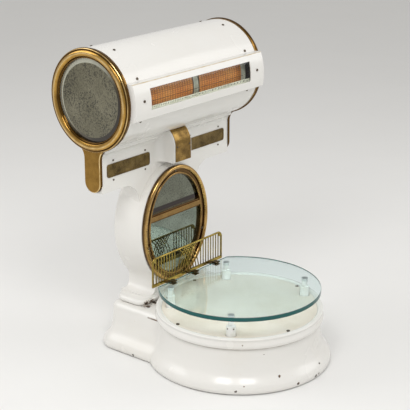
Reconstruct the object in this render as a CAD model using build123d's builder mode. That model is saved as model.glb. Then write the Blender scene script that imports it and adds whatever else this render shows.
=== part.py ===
from build123d import *
import math
import os

os.makedirs("parts", exist_ok=True)

# All sizes in millimetres. X runs along the barrel, the front is -Y, the counter is Z = 0.

# Base: a round drum under the platter with a square plinth behind it, one iron casting
base_y = -70.5
wall_radius = 190.0
wall_thickness = 6.0
skirt_bottom_z = 3.0
wall_top_z = 98.0
plinth_half_width = 148.0
plinth_rear_y = 208.9
plinth_corner_radius = 25.0
waist_radius = 40.0
plinth_rise = 12.0
plinth_top_z = wall_top_z + plinth_rise
plinth_edge_radius = 11.0
plinth_plate = 7.0
rim_overhang = 6.5
rim_height = 30.0
deck_setback = 8.4
deck_sink = 4.0
rim_radius = wall_radius + rim_overhang
rim_top_z = wall_top_z + rim_height
deck_radius = wall_radius - deck_setback
deck_top_z = rim_top_z - deck_sink
deck_thickness = 2.5
deck_ledge = 5.0

# Levelling feet
foot_stem_radius = 5.0
foot_pad_radius = 12.0
foot_pad_height = 6.0
foot_front_x = 130.0
foot_front_setback = 60.0
foot_front_y = base_y - wall_radius + foot_front_setback
foot_rear_x = 136.0
foot_rear_y = 196.0

# Column and cross head, one iron casting
column_y = 168.9
column_front = 40.0
column_rear = 44.0
column_wall = 7.0
column_draft = 5.5
column_rear_round = 9.0
door_drop = 338.4
door_half_width = 116.2
door_half_height = 144.4
door_margin = 1.5
neck_half_width = 70.0
neck_fillet = 44.0
pedestal_half_width = 98.0
pedestal_height = 14.0
pedestal_top_z = plinth_top_z + pedestal_height
pedestal_fillet = 22.0
torus_half_width = 131.0
torus_front = 50.0
torus_rear = 38.0
torus_height = 15.0
torus_corner = 26.0
arm_half_length = 226.0
arm_half_depth = 22.0
arm_underside_drop = 215.0
arm_underside_fillet = 46.0
cradle_half_depth = 34.0
boss_half_width = 30.0
boss_front = 68.5
boss_flank = 19.0
boss_crown = 44.3
boss_crown_gap = 23.0
boss_bottom_gap = 65.0

# Barrel
barrel_z = 625.2
door_z = barrel_z - door_drop
shell_radius = 115.0
shell_thickness = 1.3
ring_flange_radius = shell_radius + 1.0
ring_radius = shell_radius + 2.6
ring_depth = 16.0
mirror_depth = 7.6
tongue_depth = 8.0
ring_face_x = arm_half_length + ring_depth
mirror_face_x = arm_half_length + mirror_depth
mirror_rebate = 18.0
mirror_radius = shell_radius - mirror_rebate
mirror_bevel = 13.0
tongue_half_width = 24.5
tongue_drop = arm_underside_drop - 1.0
tongue_face_x = arm_half_length + tongue_depth
panel_standoff = 16.0
panel_radius = shell_radius + panel_standoff
panel_thickness = 2.4
panel_half_length = arm_half_length + 1.5
panel_top_rise = 51.0
panel_bottom_drop = 32.0
window_margin = 48.7
window_half_length = arm_half_length - window_margin
window_top_rise = 36.0
window_bottom_drop = 11.5
glass_fit = 0.3

# Chart drum, its shaft, pinion and rack
drum_clearance = 11.0
drum_end_space = 36.0
drum_radius = shell_radius - drum_clearance
drum_half_length = arm_half_length - drum_end_space
drum_gap_left = -6.0
drum_gap_right = 17.0
chart_right_margin = 18.0
chart_right_end = drum_half_length - chart_right_margin
shaft_radius = 3.0
running_fit = 0.06
tooth_count = 20
pitch_radius = 8.04
full_turn_deg = 330.0

# Weighing lever and platform
platform_travel = pitch_radius * math.radians(full_turn_deg) * 50.0 / 277.4
load_arm = 50.0
fulcrum_z = 50.0
rail_half_span = 60.0
rod_setback = 12.0
rod_radius = 2.5

rib_top_z = 28.0
rib_height = 12.0
rib_half_length = wall_radius + 6.0
knife_side = 5.0
knife_gap = 0.3
lever_height = 10.0
hanger_z = door_z + 109.2
lug_x = 64.5
crosshead_z = door_z - 28.8
spring_x = 28.0
spring_radius = 8.0
spring_wire = 1.6
dashpot_x = -46.0
dashpot_radius = 13.0
dashpot_wall = 1.0
spider_bottom_z = 72.0
spider_thickness = 8.0

# Platter, posts and fence
platter_radius = 190.0
platter_top_z = 176.8
platter_thickness = 10.0
platter_chord = 140.0
post_radius_circle = 165.0
post_front_x = 141.0
post_front_y = base_y - 86.0
post_rear_x = 104.0
post_rear_y = base_y + 122.0
post_radius = 6.5
sleeve_wall = 4.5
socket_radius = post_radius + sleeve_wall
fence_setback = 17.0
fence_y = base_y + platter_chord + fence_setback
fence_half_width = 129.0
fence_bottom_z = platter_top_z - 8.3
fence_height = 72.5
fence_top_z = fence_bottom_z + fence_height
fence_bar_radius = 1.3
fence_bar_pitch = 9.6

rod_y = column_y - rod_setback
fulcrum_y = base_y - load_arm
lever_length = rod_y - fulcrum_y
rack_travel = pitch_radius * math.radians(full_turn_deg)
barrel_axis = Axis((0, column_y, barrel_z), (1, 0, 0))
base_axis = Axis((0, base_y, 0), (0, 0, 1))
posts = [
    (-post_front_x, post_front_y),
    (post_front_x, post_front_y),
    (-post_rear_x, post_rear_y),
    (post_rear_x, post_rear_y),
]
feet = [
    ("foot_front_left", -foot_front_x, foot_front_y),
    ("foot_front_right", foot_front_x, foot_front_y),
    ("foot_rear_left", -foot_rear_x, foot_rear_y),
    ("foot_rear_right", foot_rear_x, foot_rear_y),
]

# Plan outline of the base wall: the drum's circle run into the plinth's square with soft corners
with BuildSketch() as base_plan:
    with Locations((0, base_y)):
        Circle(wall_radius)
    with Locations((0, (base_y + plinth_rear_y) / 2)):
        Rectangle(2 * plinth_half_width, plinth_rear_y - base_y)
    fillet(base_plan.vertices().group_by(Axis.Y)[-1], plinth_corner_radius)
    waist = [v for v in base_plan.vertices() if base_y < v.Y < base_y + wall_radius - 1]
    fillet(waist, waist_radius)
base_path = base_plan.face().outer_wire()
path_start = base_path @ 0
path_out = (base_path % 0).cross(Vector(0, 0, 1))
wall_plane = Plane(origin=path_start, x_dir=path_out, z_dir=-(base_path % 0))

# Base casting: hollow, open below, with the skirt's flare, the deck well and its rolled rim
with BuildPart() as base_casting:
    with BuildSketch(wall_plane):
        with BuildLine():
            Line((24.4, skirt_bottom_z), (25.9, skirt_bottom_z + 5))
            Spline((25.9, skirt_bottom_z + 5), (23.6, 20), (9.5, 39), (3.7, 54), (1.0, 74), (0, wall_top_z))
            Line((0, wall_top_z), (-wall_thickness, wall_top_z))
            Line((-wall_thickness, wall_top_z), (-wall_thickness + 2, 54))
            Line((-wall_thickness + 2, 54), (3, 36))
            Line((3, 36), (17, 18))
            Line((17, 18), (19, skirt_bottom_z))
            Line((19, skirt_bottom_z), (24.4, skirt_bottom_z))
        make_face()
    sweep(path=base_path)
    with BuildSketch(Plane.XY.offset(wall_top_z)):
        add(base_plan.sketch)
    extrude(amount=plinth_top_z - wall_top_z)
    fillet(base_casting.edges().group_by(Axis.Z)[-1], plinth_edge_radius)
    with BuildSketch(Plane.XY.offset(wall_top_z - 2)):
        add(base_plan.sketch)
        offset(amount=-wall_thickness, kind=Kind.INTERSECTION)
    extrude(amount=plinth_top_z - plinth_plate - wall_top_z + 2, mode=Mode.SUBTRACT)
    with BuildSketch(Plane.XY.offset(wall_top_z - 2)):
        with Locations((0, base_y)):
            Circle(deck_radius + 6)
    extrude(amount=20, mode=Mode.SUBTRACT)
    with BuildSketch(Plane.XZ.offset(-base_y)):
        with BuildLine():
            rim_1 = Line((deck_radius - deck_ledge, rim_top_z - 11.5), (deck_radius + 2, rim_top_z - 20))
            rim_2 = Line(rim_1 @ 1, (deck_radius + 5, rim_top_z - 27))
            rim_3 = Line(rim_2 @ 1, (rim_radius - 3.5, rim_top_z - 27))
            rim_4 = Spline(rim_3 @ 1, (rim_radius - 0.4, rim_top_z - 23), (rim_radius, rim_top_z - 16),
                           (rim_radius - 2.2, rim_top_z - 7.5), (rim_radius - 8.5, rim_top_z),
                           tangents=((1, 0.9), (-1, 0.12)))
            rim_5 = Line(rim_4 @ 1, (deck_radius + 3.6, rim_top_z - 0.9))
            rim_6 = Line(rim_5 @ 1, (deck_radius + 0.4, deck_top_z + 0.6))
            rim_7 = Line(rim_6 @ 1, (deck_radius + 0.4, deck_top_z - deck_thickness))
            rim_8 = Line(rim_7 @ 1, (deck_radius - deck_ledge, deck_top_z - deck_thickness))
            Line(rim_8 @ 1, rim_1 @ 0)
        make_face()
    revolve(axis=base_axis)
    with BuildSketch(Plane.XY.offset(plinth_top_z)):
        with Locations((0, column_y + (torus_rear - torus_front) / 2)):
            RectangleRounded(2 * torus_half_width + 1, torus_front + torus_rear + 1, torus_corner)
    extrude(amount=30, mode=Mode.SUBTRACT)
    with BuildSketch(Plane.XY.offset(90)):
        with Locations((0, column_y)):
            RectangleRounded(60, 56, 12)
    extrude(amount=30, mode=Mode.SUBTRACT)
    with BuildSketch(Plane.XY.offset(rib_top_z - rib_height)):
        with Locations((0, fulcrum_y)):
            Rectangle(2 * rib_half_length, 16)
    extrude(amount=rib_height)
    for name, x, y in feet:
        with BuildSketch(Plane.XY.offset(14)):
            with Locations((x, y)):
                Circle(14)
        extrude(amount=22)
        with BuildSketch(Plane.XY.offset(13)):
            with Locations((x, y)):
                Circle(foot_stem_radius + running_fit)
        extrude(amount=24, mode=Mode.SUBTRACT)
base_casting.part.label = "base_casting"
export_step(base_casting.part, "parts/base_casting.step")

# Deck plate in the well, with a clear hole round each post
with BuildPart() as deck_plate:
    with BuildSketch(Plane.XY.offset(deck_top_z - deck_thickness)):
        with Locations((0, base_y)):
            Circle(deck_radius)
        with Locations(*posts):
            Circle(socket_radius + 1.5, mode=Mode.SUBTRACT)
    extrude(amount=deck_thickness)
deck_plate.part.label = "deck_plate"
export_step(deck_plate.part, "parts/deck_plate.step")

# Deck screws
with BuildPart() as deck_screws:
    for a in (-104, -14, 76, 166):
        with BuildSketch(Plane.XY.offset(deck_top_z)):
            with Locations((177 * math.cos(math.radians(a)), base_y + 177 * math.sin(math.radians(a)))):
                Circle(4)
        extrude(amount=1.8)
deck_screws.part.label = "deck_screws"
export_step(deck_screws.part, "parts/deck_screws.step")

# Levelling feet: a threaded stem on a round pad
for name, x, y in feet:
    with BuildPart() as foot:
        with BuildSketch():
            with Locations((x, y)):
                Circle(foot_pad_radius)
        extrude(amount=foot_pad_height)
        fillet(foot.edges().group_by(Axis.Z)[-1], 1.5)
        with BuildSketch(Plane.XY.offset(foot_pad_height)):
            with Locations((x, y)):
                Circle(foot_stem_radius)
        extrude(amount=36)
    foot.part.label = name
    export_step(foot.part, "parts/" + name + ".step")

# Four-arc oval of the column's front, and the arcs that lead from it into the neck and the arms
arm_bottom_z = barrel_z - arm_underside_drop
oval_half_width = door_half_width + door_margin
oval_half_height = door_half_height + door_margin
cap_rise = 0.31 * oval_half_height
oval_difference = oval_half_height - oval_half_width
side_shift = (2 * cap_rise * oval_difference - oval_difference**2) / (2 * (cap_rise - oval_difference))
cap_radius = oval_half_height - cap_rise
side_radius = oval_half_width + side_shift
cap_turn = math.degrees(math.atan2(cap_rise, side_shift))
crook_x = neck_half_width + neck_fillet
crook_drop = math.sqrt((side_radius + neck_fillet) ** 2 - (crook_x + side_shift) ** 2)
crook_turn = math.degrees(math.atan2(crook_drop, crook_x + side_shift))
armpit_z = arm_bottom_z - arm_underside_fillet
armpit_reach = math.sqrt((side_radius + arm_underside_fillet) ** 2 - (armpit_z - door_z) ** 2)
armpit_turn = math.degrees(math.atan2(armpit_z - door_z, armpit_reach))
pedestal_arc_x = neck_half_width + pedestal_fillet
pedestal_arc_z = pedestal_top_z + pedestal_fillet


# Outline of oval, neck and pedestal in the plane at y, grown evenly; the hollow inside has no pedestal
def column_outline(y, grow, hollow=False):
    with BuildSketch(Plane.XZ.offset(-y)) as view:
        with BuildLine():
            CenterArc((0, door_z + cap_rise), cap_radius + grow, cap_turn, 180 - 2 * cap_turn)
            for side in (-1, 1):
                if side > 0:
                    CenterArc((-side_shift, door_z), side_radius + grow, -crook_turn, crook_turn + cap_turn)
                    crook = CenterArc((crook_x, door_z - crook_drop), neck_fillet - grow,
                        180 - crook_turn, crook_turn)
                else:
                    CenterArc((side_shift, door_z), side_radius + grow,
                        180 - cap_turn, crook_turn + cap_turn)
                    crook = CenterArc((-crook_x, door_z - crook_drop), neck_fillet - grow,
                        crook_turn, -crook_turn)
                if hollow:
                    Line(crook @ 1, ((crook @ 1).X, plinth_top_z))
                    continue
                foot = CenterArc((side * pedestal_arc_x, pedestal_arc_z), pedestal_fillet - grow,
                                 90 + side * 90, side * 90)
                Line(crook @ 1, foot @ 0)
                edge_x = side * (pedestal_half_width + grow)
                top = Line(foot @ 1, (edge_x, pedestal_top_z + grow))
                Line(top @ 1, (edge_x, plinth_top_z))
            bottom_x = (neck_half_width if hollow else pedestal_half_width) + grow
            Line((-bottom_x, plinth_top_z), (bottom_x, plinth_top_z))
        make_face()
    return view.sketch


# Outline of the two arms in the plane at y, shrunk evenly; its middle lies inside the oval
def arm_outline(y, shrink):
    with BuildSketch(Plane.XZ.offset(-y)) as view:
        with BuildLine():
            ends = []
            for side in (-1, 1):
                centre = (side * (armpit_reach - side_shift), armpit_z)
                if side > 0:
                    pit = CenterArc(centre, arm_underside_fillet + shrink, 90, 90 + armpit_turn)
                else:
                    pit = CenterArc(centre, arm_underside_fillet + shrink, 90, -90 - armpit_turn)
                tip_x = side * (arm_half_length - shrink)
                under = Line(pit @ 0, (tip_x, arm_bottom_z + shrink))
                Line(under @ 1, (tip_x, barrel_z))
                ends.append(pit @ 1)
            Line(ends[0], ends[1])
            Line((-arm_half_length + shrink, barrel_z), (arm_half_length - shrink, barrel_z))
        make_face()
    return view.sketch


# Bead that the column stands on
with BuildPart() as foot_bead:
    with BuildSketch(Plane.XY.offset(plinth_top_z)):
        with Locations((0, column_y + (torus_rear - torus_front) / 2)):
            RectangleRounded(2 * torus_half_width, torus_front + torus_rear, torus_corner)
    extrude(amount=torus_height)
    fillet(foot_bead.edges().group_by(Axis.Z)[-1] + foot_bead.edges().group_by(Axis.Z)[0], 7)

# Boss of the cross head: hollow-sided in plan where it grows out of the arms, rounded back at the top
boss_back = boss_front - boss_crown
boss_crown_drop = shell_radius + boss_crown_gap
boss_bottom_drop = shell_radius + boss_bottom_gap
with BuildPart() as boss:
    with BuildSketch(Plane.XY.offset(barrel_z - boss_bottom_drop)):
        with BuildLine():
            g1 = Line((-boss_half_width, column_y - boss_front), (boss_half_width, column_y - boss_front))
            g2 = Line(g1 @ 1, (boss_half_width, column_y - arm_half_depth - boss_flank))
            g3 = CenterArc((boss_half_width + boss_flank, column_y - arm_half_depth - boss_flank),
                boss_flank, 180, -90)
            g4 = Line(g3 @ 1, (boss_half_width + boss_flank, column_y))
            g5 = Line(g4 @ 1, (-boss_half_width - boss_flank, column_y))
            g6 = Line(g5 @ 1, (-boss_half_width - boss_flank, column_y - arm_half_depth))
            g7 = CenterArc((-boss_half_width - boss_flank, column_y - arm_half_depth - boss_flank),
                boss_flank, 90, -90)
            Line(g7 @ 1, g1 @ 0)
        make_face()
    extrude(amount=boss_bottom_gap + 17)
    with BuildSketch(Plane.YZ.offset(-boss_half_width - boss_flank)):
        with BuildLine():
            b1 = Line((column_y, barrel_z - boss_bottom_drop),
                (column_y - boss_front + 4, barrel_z - boss_bottom_drop))
            b2 = Line(b1 @ 1, (column_y - boss_front, barrel_z - boss_bottom_drop + 4))
            b3 = Line(b2 @ 1, (column_y - boss_front, barrel_z - boss_crown_drop))
            b4 = CenterArc((column_y - boss_back, barrel_z - boss_crown_drop), boss_crown, 180, -56)
            b5 = Line(b4 @ 1, (column_y, barrel_z - shell_radius + 17))
            Line(b5 @ 1, b1 @ 0)
        make_face()
    extrude(amount=2 * (boss_half_width + boss_flank), mode=Mode.INTERSECT)

# Column casting: oval hollow column on its bead foot, cross head with the barrel's cradle
column_depth = column_front + column_rear
draft_growth = column_depth * math.tan(math.radians(column_draft))
cradle_z = barrel_z - shell_radius - 3.0
with BuildPart() as column_casting:
    loft([column_outline(column_y - column_front, 0).face(),
          column_outline(column_y + column_rear, draft_growth).face()])
    rear_face = column_casting.faces().sort_by(Axis.Y)[-1]
    fillet([e for e in rear_face.edges() if e.center().Z > plinth_top_z + 1], column_rear_round)
    extrude(arm_outline(column_y + arm_half_depth, 0), amount=2 * arm_half_depth)
    with BuildSketch(Plane.YZ.offset(-arm_half_length)):
        with Locations((column_y, cradle_z + 20)):
            Rectangle(2 * cradle_half_depth, 40)
        with BuildLine():
            l1 = Line((column_y - cradle_half_depth, cradle_z), (column_y + cradle_half_depth, cradle_z))
            l2 = ThreePointArc(l1 @ 1, (column_y + 25, cradle_z - 6.5),
                (column_y + arm_half_depth, cradle_z - 17))
            l3 = Line(l2 @ 1, (column_y - arm_half_depth, cradle_z - 17))
            ThreePointArc(l3 @ 1, (column_y - 25, cradle_z - 6.5), l1 @ 0)
        make_face()
    extrude(amount=2 * arm_half_length)
    add(boss.part)
    add(foot_bead.part)
    with BuildSketch(Plane.YZ.offset(-arm_half_length - 5)):
        with Locations((column_y, barrel_z)):
            Circle(shell_radius + glass_fit)
    extrude(amount=2 * arm_half_length + 10, mode=Mode.SUBTRACT)
    loft([column_outline(column_y - column_front + column_wall, -column_wall, True).face(),
          column_outline(column_y + column_rear - column_wall, draft_growth - column_wall - 1, True).face()],
         mode=Mode.SUBTRACT)
    extrude(arm_outline(column_y + arm_half_depth - column_wall, column_wall),
            amount=2 * (arm_half_depth - column_wall), mode=Mode.SUBTRACT)
    with BuildSketch(Plane.XZ.offset(-(column_y - arm_half_depth + 1))):
        with Locations((0, barrel_z - shell_radius - 36)):
            Rectangle(2 * (boss_half_width - 6), 44)
    extrude(amount=boss_front - arm_half_depth - 6, mode=Mode.SUBTRACT)
    with BuildSketch(Plane.XZ.offset(-(column_y - column_front + column_wall + 1))):
        with Locations((0, door_z)):
            Ellipse(door_half_width - 20, door_half_height - 20)
    extrude(amount=column_wall + 2, mode=Mode.SUBTRACT)
    with BuildSketch(Plane.XY.offset(hanger_z - 12)):
        with Locations((-lug_x, rod_y), (lug_x, rod_y)):
            Rectangle(27, 18)
    extrude(amount=12)
column_casting.part.label = "column_casting"
export_step(column_casting.part, "parts/column_casting.step")

# Bolts that hold the column down, heads under the plinth's top
with BuildPart() as foot_bolts:
    with BuildSketch(Plane.XY.offset(plinth_top_z - plinth_plate - 6)):
        with Locations((-112, column_y + 18), (112, column_y + 18),
            (-112, column_y - 30), (112, column_y - 30)):
            RegularPolygon(8, 6)
    extrude(amount=6)
foot_bolts.part.label = "foot_bolts"
export_step(foot_bolts.part, "parts/foot_bolts.step")

# Oval door frame: flat ring with an outer and an inner bead, and the bar across it
door_plane_y = column_y - column_front
frame_plate = 5.0
frame_inner_half_width = 91.0
frame_inner_half_height = 121.0
bar_z = 318.0
bar_height = 19.0
outer_bead_radius = 5.4
inner_bead_radius = 3.0
with BuildSketch(Plane.XZ.offset(-door_plane_y + frame_plate + 0.7)) as outer_oval:
    with Locations((0, door_z)):
        Ellipse(door_half_width - outer_bead_radius, door_half_height - outer_bead_radius)
outer_bead = outer_oval.sketch.wire()
with BuildSketch(Plane.XZ.offset(-door_plane_y + frame_plate)) as inner_oval:
    with Locations((0, door_z)):
        Ellipse(frame_inner_half_width + inner_bead_radius + 0.5,
            frame_inner_half_height + inner_bead_radius + 0.5)
inner_bead = inner_oval.sketch.wire()
with BuildPart() as door_frame:
    with BuildSketch(Plane.XZ.offset(-door_plane_y)):
        with Locations((0, door_z)):
            Ellipse(door_half_width - 1, door_half_height - 1)
            Ellipse(frame_inner_half_width, frame_inner_half_height, mode=Mode.SUBTRACT)
    extrude(amount=frame_plate)
    with BuildSketch(Plane.XZ.offset(-door_plane_y)):
        with Locations((0, door_z)):
            Ellipse(frame_inner_half_width + 2, frame_inner_half_height + 2)
        with Locations((0, bar_z)):
            Rectangle(2 * door_half_width, bar_height, mode=Mode.INTERSECT)
    extrude(amount=frame_plate)
    with BuildSketch(Plane.XZ.offset(-door_plane_y + frame_plate)):
        with Locations((0, door_z)):
            Ellipse(frame_inner_half_width + 2, frame_inner_half_height + 2)
        with Locations((0, bar_z)):
            Rectangle(2 * door_half_width, bar_height - 8, mode=Mode.INTERSECT)
    extrude(amount=2.6)
    with BuildSketch(Plane(origin=outer_bead @ 0, z_dir=outer_bead % 0)):
        Circle(outer_bead_radius)
    sweep(path=outer_bead)
    with BuildSketch(Plane(origin=inner_bead @ 0, z_dir=inner_bead % 0)):
        Circle(inner_bead_radius)
    sweep(path=inner_bead)
door_frame.part.label = "door_frame"
export_step(door_frame.part, "parts/door_frame.step")

# Two mirrors in the column's opening behind the frame, split at the bar, and their backing
mirror_thickness = 4.0
for name, low, high in (
    ("upper_mirror", bar_z + 1, door_z + 200),
    ("lower_mirror", door_z - 200, bar_z - 1),
):
    with BuildPart() as pane:
        with BuildSketch(Plane.XZ.offset(-(door_plane_y + glass_fit + mirror_thickness))):
            with Locations((0, door_z)):
                Ellipse(door_half_width - 20.6, door_half_height - 20.6)
            with Locations((0, (low + high) / 2)):
                Rectangle(300, high - low, mode=Mode.INTERSECT)
        extrude(amount=mirror_thickness)
    pane.part.label = name
    export_step(pane.part, "parts/" + name + ".step")
with BuildPart() as door_backing:
    with BuildSketch(Plane.XZ.offset(-(door_plane_y + 2 * glass_fit + mirror_thickness + 1))):
        with Locations((0, door_z)):
            Ellipse(door_half_width - 20.6, door_half_height - 20.6)
    extrude(amount=1)
door_backing.part.label = "door_backing"
export_step(door_backing.part, "parts/door_backing.step")

# Screws through the door frame
with BuildPart() as door_screws:
    for a in (90, 197, -17, 270):
        x = (frame_inner_half_width + 10.6) * math.cos(math.radians(a))
        z = door_z + (frame_inner_half_height + 10.6) * math.sin(math.radians(a))
        with BuildSketch(Plane.XZ.offset(-door_plane_y + frame_plate)):
            with Locations((x, z)):
                Circle(3)
        extrude(amount=1.6)
door_screws.part.label = "door_screws"
export_step(door_screws.part, "parts/door_screws.step")

# Brass cover over the boss of the cross head, rolled back under the barrel
cover_half_width = 27.0
cover_thickness = 1.5
cover_y = column_y - boss_front - 0.1
with BuildPart() as centre_cover:
    with BuildSketch(Plane.YZ.offset(-cover_half_width)):
        with BuildLine():
            c1 = Line((cover_y, barrel_z - boss_bottom_drop + 3), (cover_y, barrel_z - boss_crown_drop))
            c2 = CenterArc((column_y - boss_back, barrel_z - boss_crown_drop), boss_crown + 0.1, 180, -57)
            c3 = CenterArc((column_y - boss_back, barrel_z - boss_crown_drop),
                boss_crown + 0.1 + cover_thickness, 180, -57)
            c4 = Line(c2 @ 1, c3 @ 1)
            c5 = Line(c3 @ 0, (cover_y - cover_thickness, barrel_z - boss_bottom_drop + 3))
            Line(c5 @ 1, c1 @ 0)
        make_face()
        with Locations((column_y, barrel_z)):
            Circle(shell_radius + glass_fit, mode=Mode.SUBTRACT)
    extrude(amount=2 * cover_half_width)
centre_cover.part.label = "centre_cover"
export_step(centre_cover.part, "parts/centre_cover.step")

# Bare brass plates on the arms, each with a raised edge
arm_face_y = column_y - arm_half_depth
plate_margin = 17.0
plate_inner_x = 66.0
plate_length = arm_half_length - plate_margin - plate_inner_x
plate_height = 31.0
plate_x = arm_half_length - plate_margin - plate_length / 2
plate_drop = shell_radius + 50.5
with BuildPart() as nameplates:
    with BuildSketch(Plane.XZ.offset(-arm_face_y)):
        with Locations((-plate_x, barrel_z - plate_drop), (plate_x, barrel_z - plate_drop)):
            RectangleRounded(plate_length, plate_height, 6)
    extrude(amount=1.2)
    with BuildSketch(Plane.XZ.offset(-arm_face_y + 1.2)):
        with Locations((-plate_x, barrel_z - plate_drop), (plate_x, barrel_z - plate_drop)):
            RectangleRounded(plate_length, plate_height, 6)
            RectangleRounded(plate_length - 4, plate_height - 4, 4.5, mode=Mode.SUBTRACT)
    extrude(amount=0.6)
nameplates.part.label = "nameplates"
export_step(nameplates.part, "parts/nameplates.step")

# Small round heads that hold the plates and the centre cover
with BuildPart() as plate_screws:
    with BuildSketch(Plane.XZ.offset(-arm_face_y)):
        for x in (-plate_x - 50.5, -plate_x + 56.5, plate_x - 56.5, plate_x + 50.5):
            with Locations((x, barrel_z - plate_drop + 22.5), (x, barrel_z - plate_drop - 23.5)):
                Circle(2.2)
    extrude(amount=1.2)
    with BuildSketch(Plane.XZ.offset(-(cover_y - cover_thickness))):
        with Locations((-22, barrel_z - boss_crown_drop - 3), (22, barrel_z - boss_crown_drop - 3)):
            Circle(2.2)
    extrude(amount=1)
plate_screws.part.label = "plate_screws"
export_step(plate_screws.part, "parts/plate_screws.step")

# Tongue of an end ring, spreading where it meets the ring, with soft edges on its face
tongue_neck_z = barrel_z - shell_radius - 21
with BuildPart() as tongue:
    with BuildSketch(Plane.YZ.offset(arm_half_length)):
        with BuildLine():
            t1 = CenterArc((column_y, barrel_z - tongue_drop + tongue_half_width), tongue_half_width,
                180, 180)
            t2 = Line(t1 @ 1, (column_y + tongue_half_width, tongue_neck_z))
            t3 = CenterArc((column_y + tongue_half_width + 30, tongue_neck_z), 30, 180, -54)
            t4 = Line(t1 @ 0, (column_y - tongue_half_width, tongue_neck_z))
            t5 = CenterArc((column_y - tongue_half_width - 30, tongue_neck_z), 30, 0, 54)
            t6 = Line(t3 @ 1, ((t3 @ 1).X, tongue_neck_z + 36))
            t7 = Line(t5 @ 1, ((t5 @ 1).X, tongue_neck_z + 36))
            Line(t6 @ 1, t7 @ 1)
        make_face()
    extrude(amount=tongue_face_x - arm_half_length)
    tongue_face = tongue.faces().sort_by(Axis.X)[-1]
    fillet([e for e in tongue_face.edges() if e.center().Z < tongue_neck_z + 25], 3.5)
    with BuildSketch(Plane.YZ.offset(arm_half_length - 1)):
        with Locations((column_y, barrel_z)):
            Circle(mirror_radius + 4)
    extrude(amount=tongue_face_x - arm_half_length + 2, mode=Mode.SUBTRACT)

# End rings, each two beads round the mirror and a long tongue over the cross head's end, one brass casting
with BuildPart() as end_ring_right:
    with BuildSketch(Plane.XY.offset(barrel_z)):
        with BuildLine():
            r1 = Line((arm_half_length, column_y + shell_radius - 2),
                (arm_half_length, column_y + ring_flange_radius))
            r2 = Line(r1 @ 1, (arm_half_length + 3.5, column_y + ring_flange_radius))
            outer_bead = Spline(r2 @ 1, (arm_half_length + 7.5, column_y + ring_radius),
                                (ring_face_x - 3.6, column_y + shell_radius + 0.4),
                                (ring_face_x - 4.2, column_y + shell_radius - 2.6),
                                tangents=((0.6, 0.8), (-0.8, -0.6)))
            main_bead = Spline(outer_bead @ 1, (ring_face_x - 1.2, column_y + shell_radius - 5),
                               (ring_face_x, column_y + shell_radius - 9.5),
                               (ring_face_x - 1.6, column_y + shell_radius - 14.4),
                               (ring_face_x - 4.8, column_y + shell_radius - 17.6),
                               tangents=((0.9, -0.2), (-0.9, -0.5)))
            inner_bead = ThreePointArc(main_bead @ 1, (ring_face_x - 3.6, column_y + shell_radius - 19.1),
                                       (ring_face_x - 5.4, column_y + shell_radius - 20.6))
            r4 = Line(inner_bead @ 1, (mirror_face_x + 0.2, column_y + shell_radius - 21.4))
            r6 = Line(r4 @ 1, (mirror_face_x + 0.2, column_y + mirror_radius + 0.3))
            r7 = Line(r6 @ 1, (arm_half_length, column_y + mirror_radius + 0.3))
            Line(r7 @ 1, r1 @ 0)
        make_face()
    revolve(axis=barrel_axis)
    add(tongue.part)
end_ring_right.part.label = "end_ring_right"
export_step(end_ring_right.part, "parts/end_ring_right.step")

# The left ring is the right one mirrored
with BuildPart() as end_ring_left:
    mirror(end_ring_right.part, about=Plane.YZ)
end_ring_left.part.label = "end_ring_left"
export_step(end_ring_left.part, "parts/end_ring_left.step")

# Bevelled end mirrors and the spoked frames behind them that carry the drum's shaft
for name, side in (("left", -1), ("right", 1)):
    with BuildPart() as glass:
        with BuildSketch(Plane.XY.offset(barrel_z)):
            with BuildLine():
                Polyline((side * (mirror_face_x - 4.5), column_y), (side * mirror_face_x, column_y),
                         (side * mirror_face_x, column_y + mirror_radius - mirror_bevel),
                         (side * (mirror_face_x - 1.6), column_y + mirror_radius),
                         (side * (mirror_face_x - 4.5), column_y + mirror_radius), close=True)
            make_face()
        revolve(axis=barrel_axis)
    glass.part.label = "end_mirror_" + name
    export_step(glass.part, "parts/end_mirror_" + name + ".step")
    with BuildPart() as frame:
        with BuildSketch(Plane.YZ.offset(side * (arm_half_length - 3))):
            with Locations((column_y, barrel_z)):
                Circle(shell_radius - shell_thickness - glass_fit)
                with PolarLocations(shell_radius - 53, 6, 30):
                    Circle(24, mode=Mode.SUBTRACT)
        extrude(amount=3, both=True)
        with BuildSketch(Plane.YZ.offset(side * (arm_half_length - 12))):
            with Locations((column_y, barrel_z)):
                Circle(14)
        extrude(amount=8, both=True)
        with BuildSketch(Plane.YZ.offset(side * (arm_half_length - 12))):
            with Locations((column_y, barrel_z)):
                Circle(shaft_radius + running_fit)
        extrude(amount=8.5, both=True, mode=Mode.SUBTRACT)
    frame.part.label = "end_frame_" + name
    export_step(frame.part, "parts/end_frame_" + name + ".step")

# Backing discs of the end mirrors
with BuildPart() as mirror_backings:
    for side in (-1, 1):
        with BuildSketch(Plane.YZ.offset(side * (arm_half_length + 1.4))):
            with Locations((column_y, barrel_z)):
                Circle(mirror_radius - 0.5)
        extrude(amount=1.4, both=True)
mirror_backings.part.label = "mirror_backings"
export_step(mirror_backings.part, "parts/mirror_backings.step")


# Wall of the barrel between two angles, measured about its axis from the rear upwards
def shell_sector(x0, x1, outer, inner, start, sweep_angle):
    with BuildPart() as sector:
        with BuildSketch(Plane.YZ.offset(x0)):
            with BuildLine():
                s1 = CenterArc((column_y, barrel_z), outer, start, sweep_angle)
                s2 = CenterArc((column_y, barrel_z), inner, start, sweep_angle)
                Line(s1 @ 0, s2 @ 0)
                Line(s1 @ 1, s2 @ 1)
            make_face()
        extrude(amount=x1 - x0)
    return sector.part


def angle_at(height, radius):
    return math.degrees(math.asin(height / radius))


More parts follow.
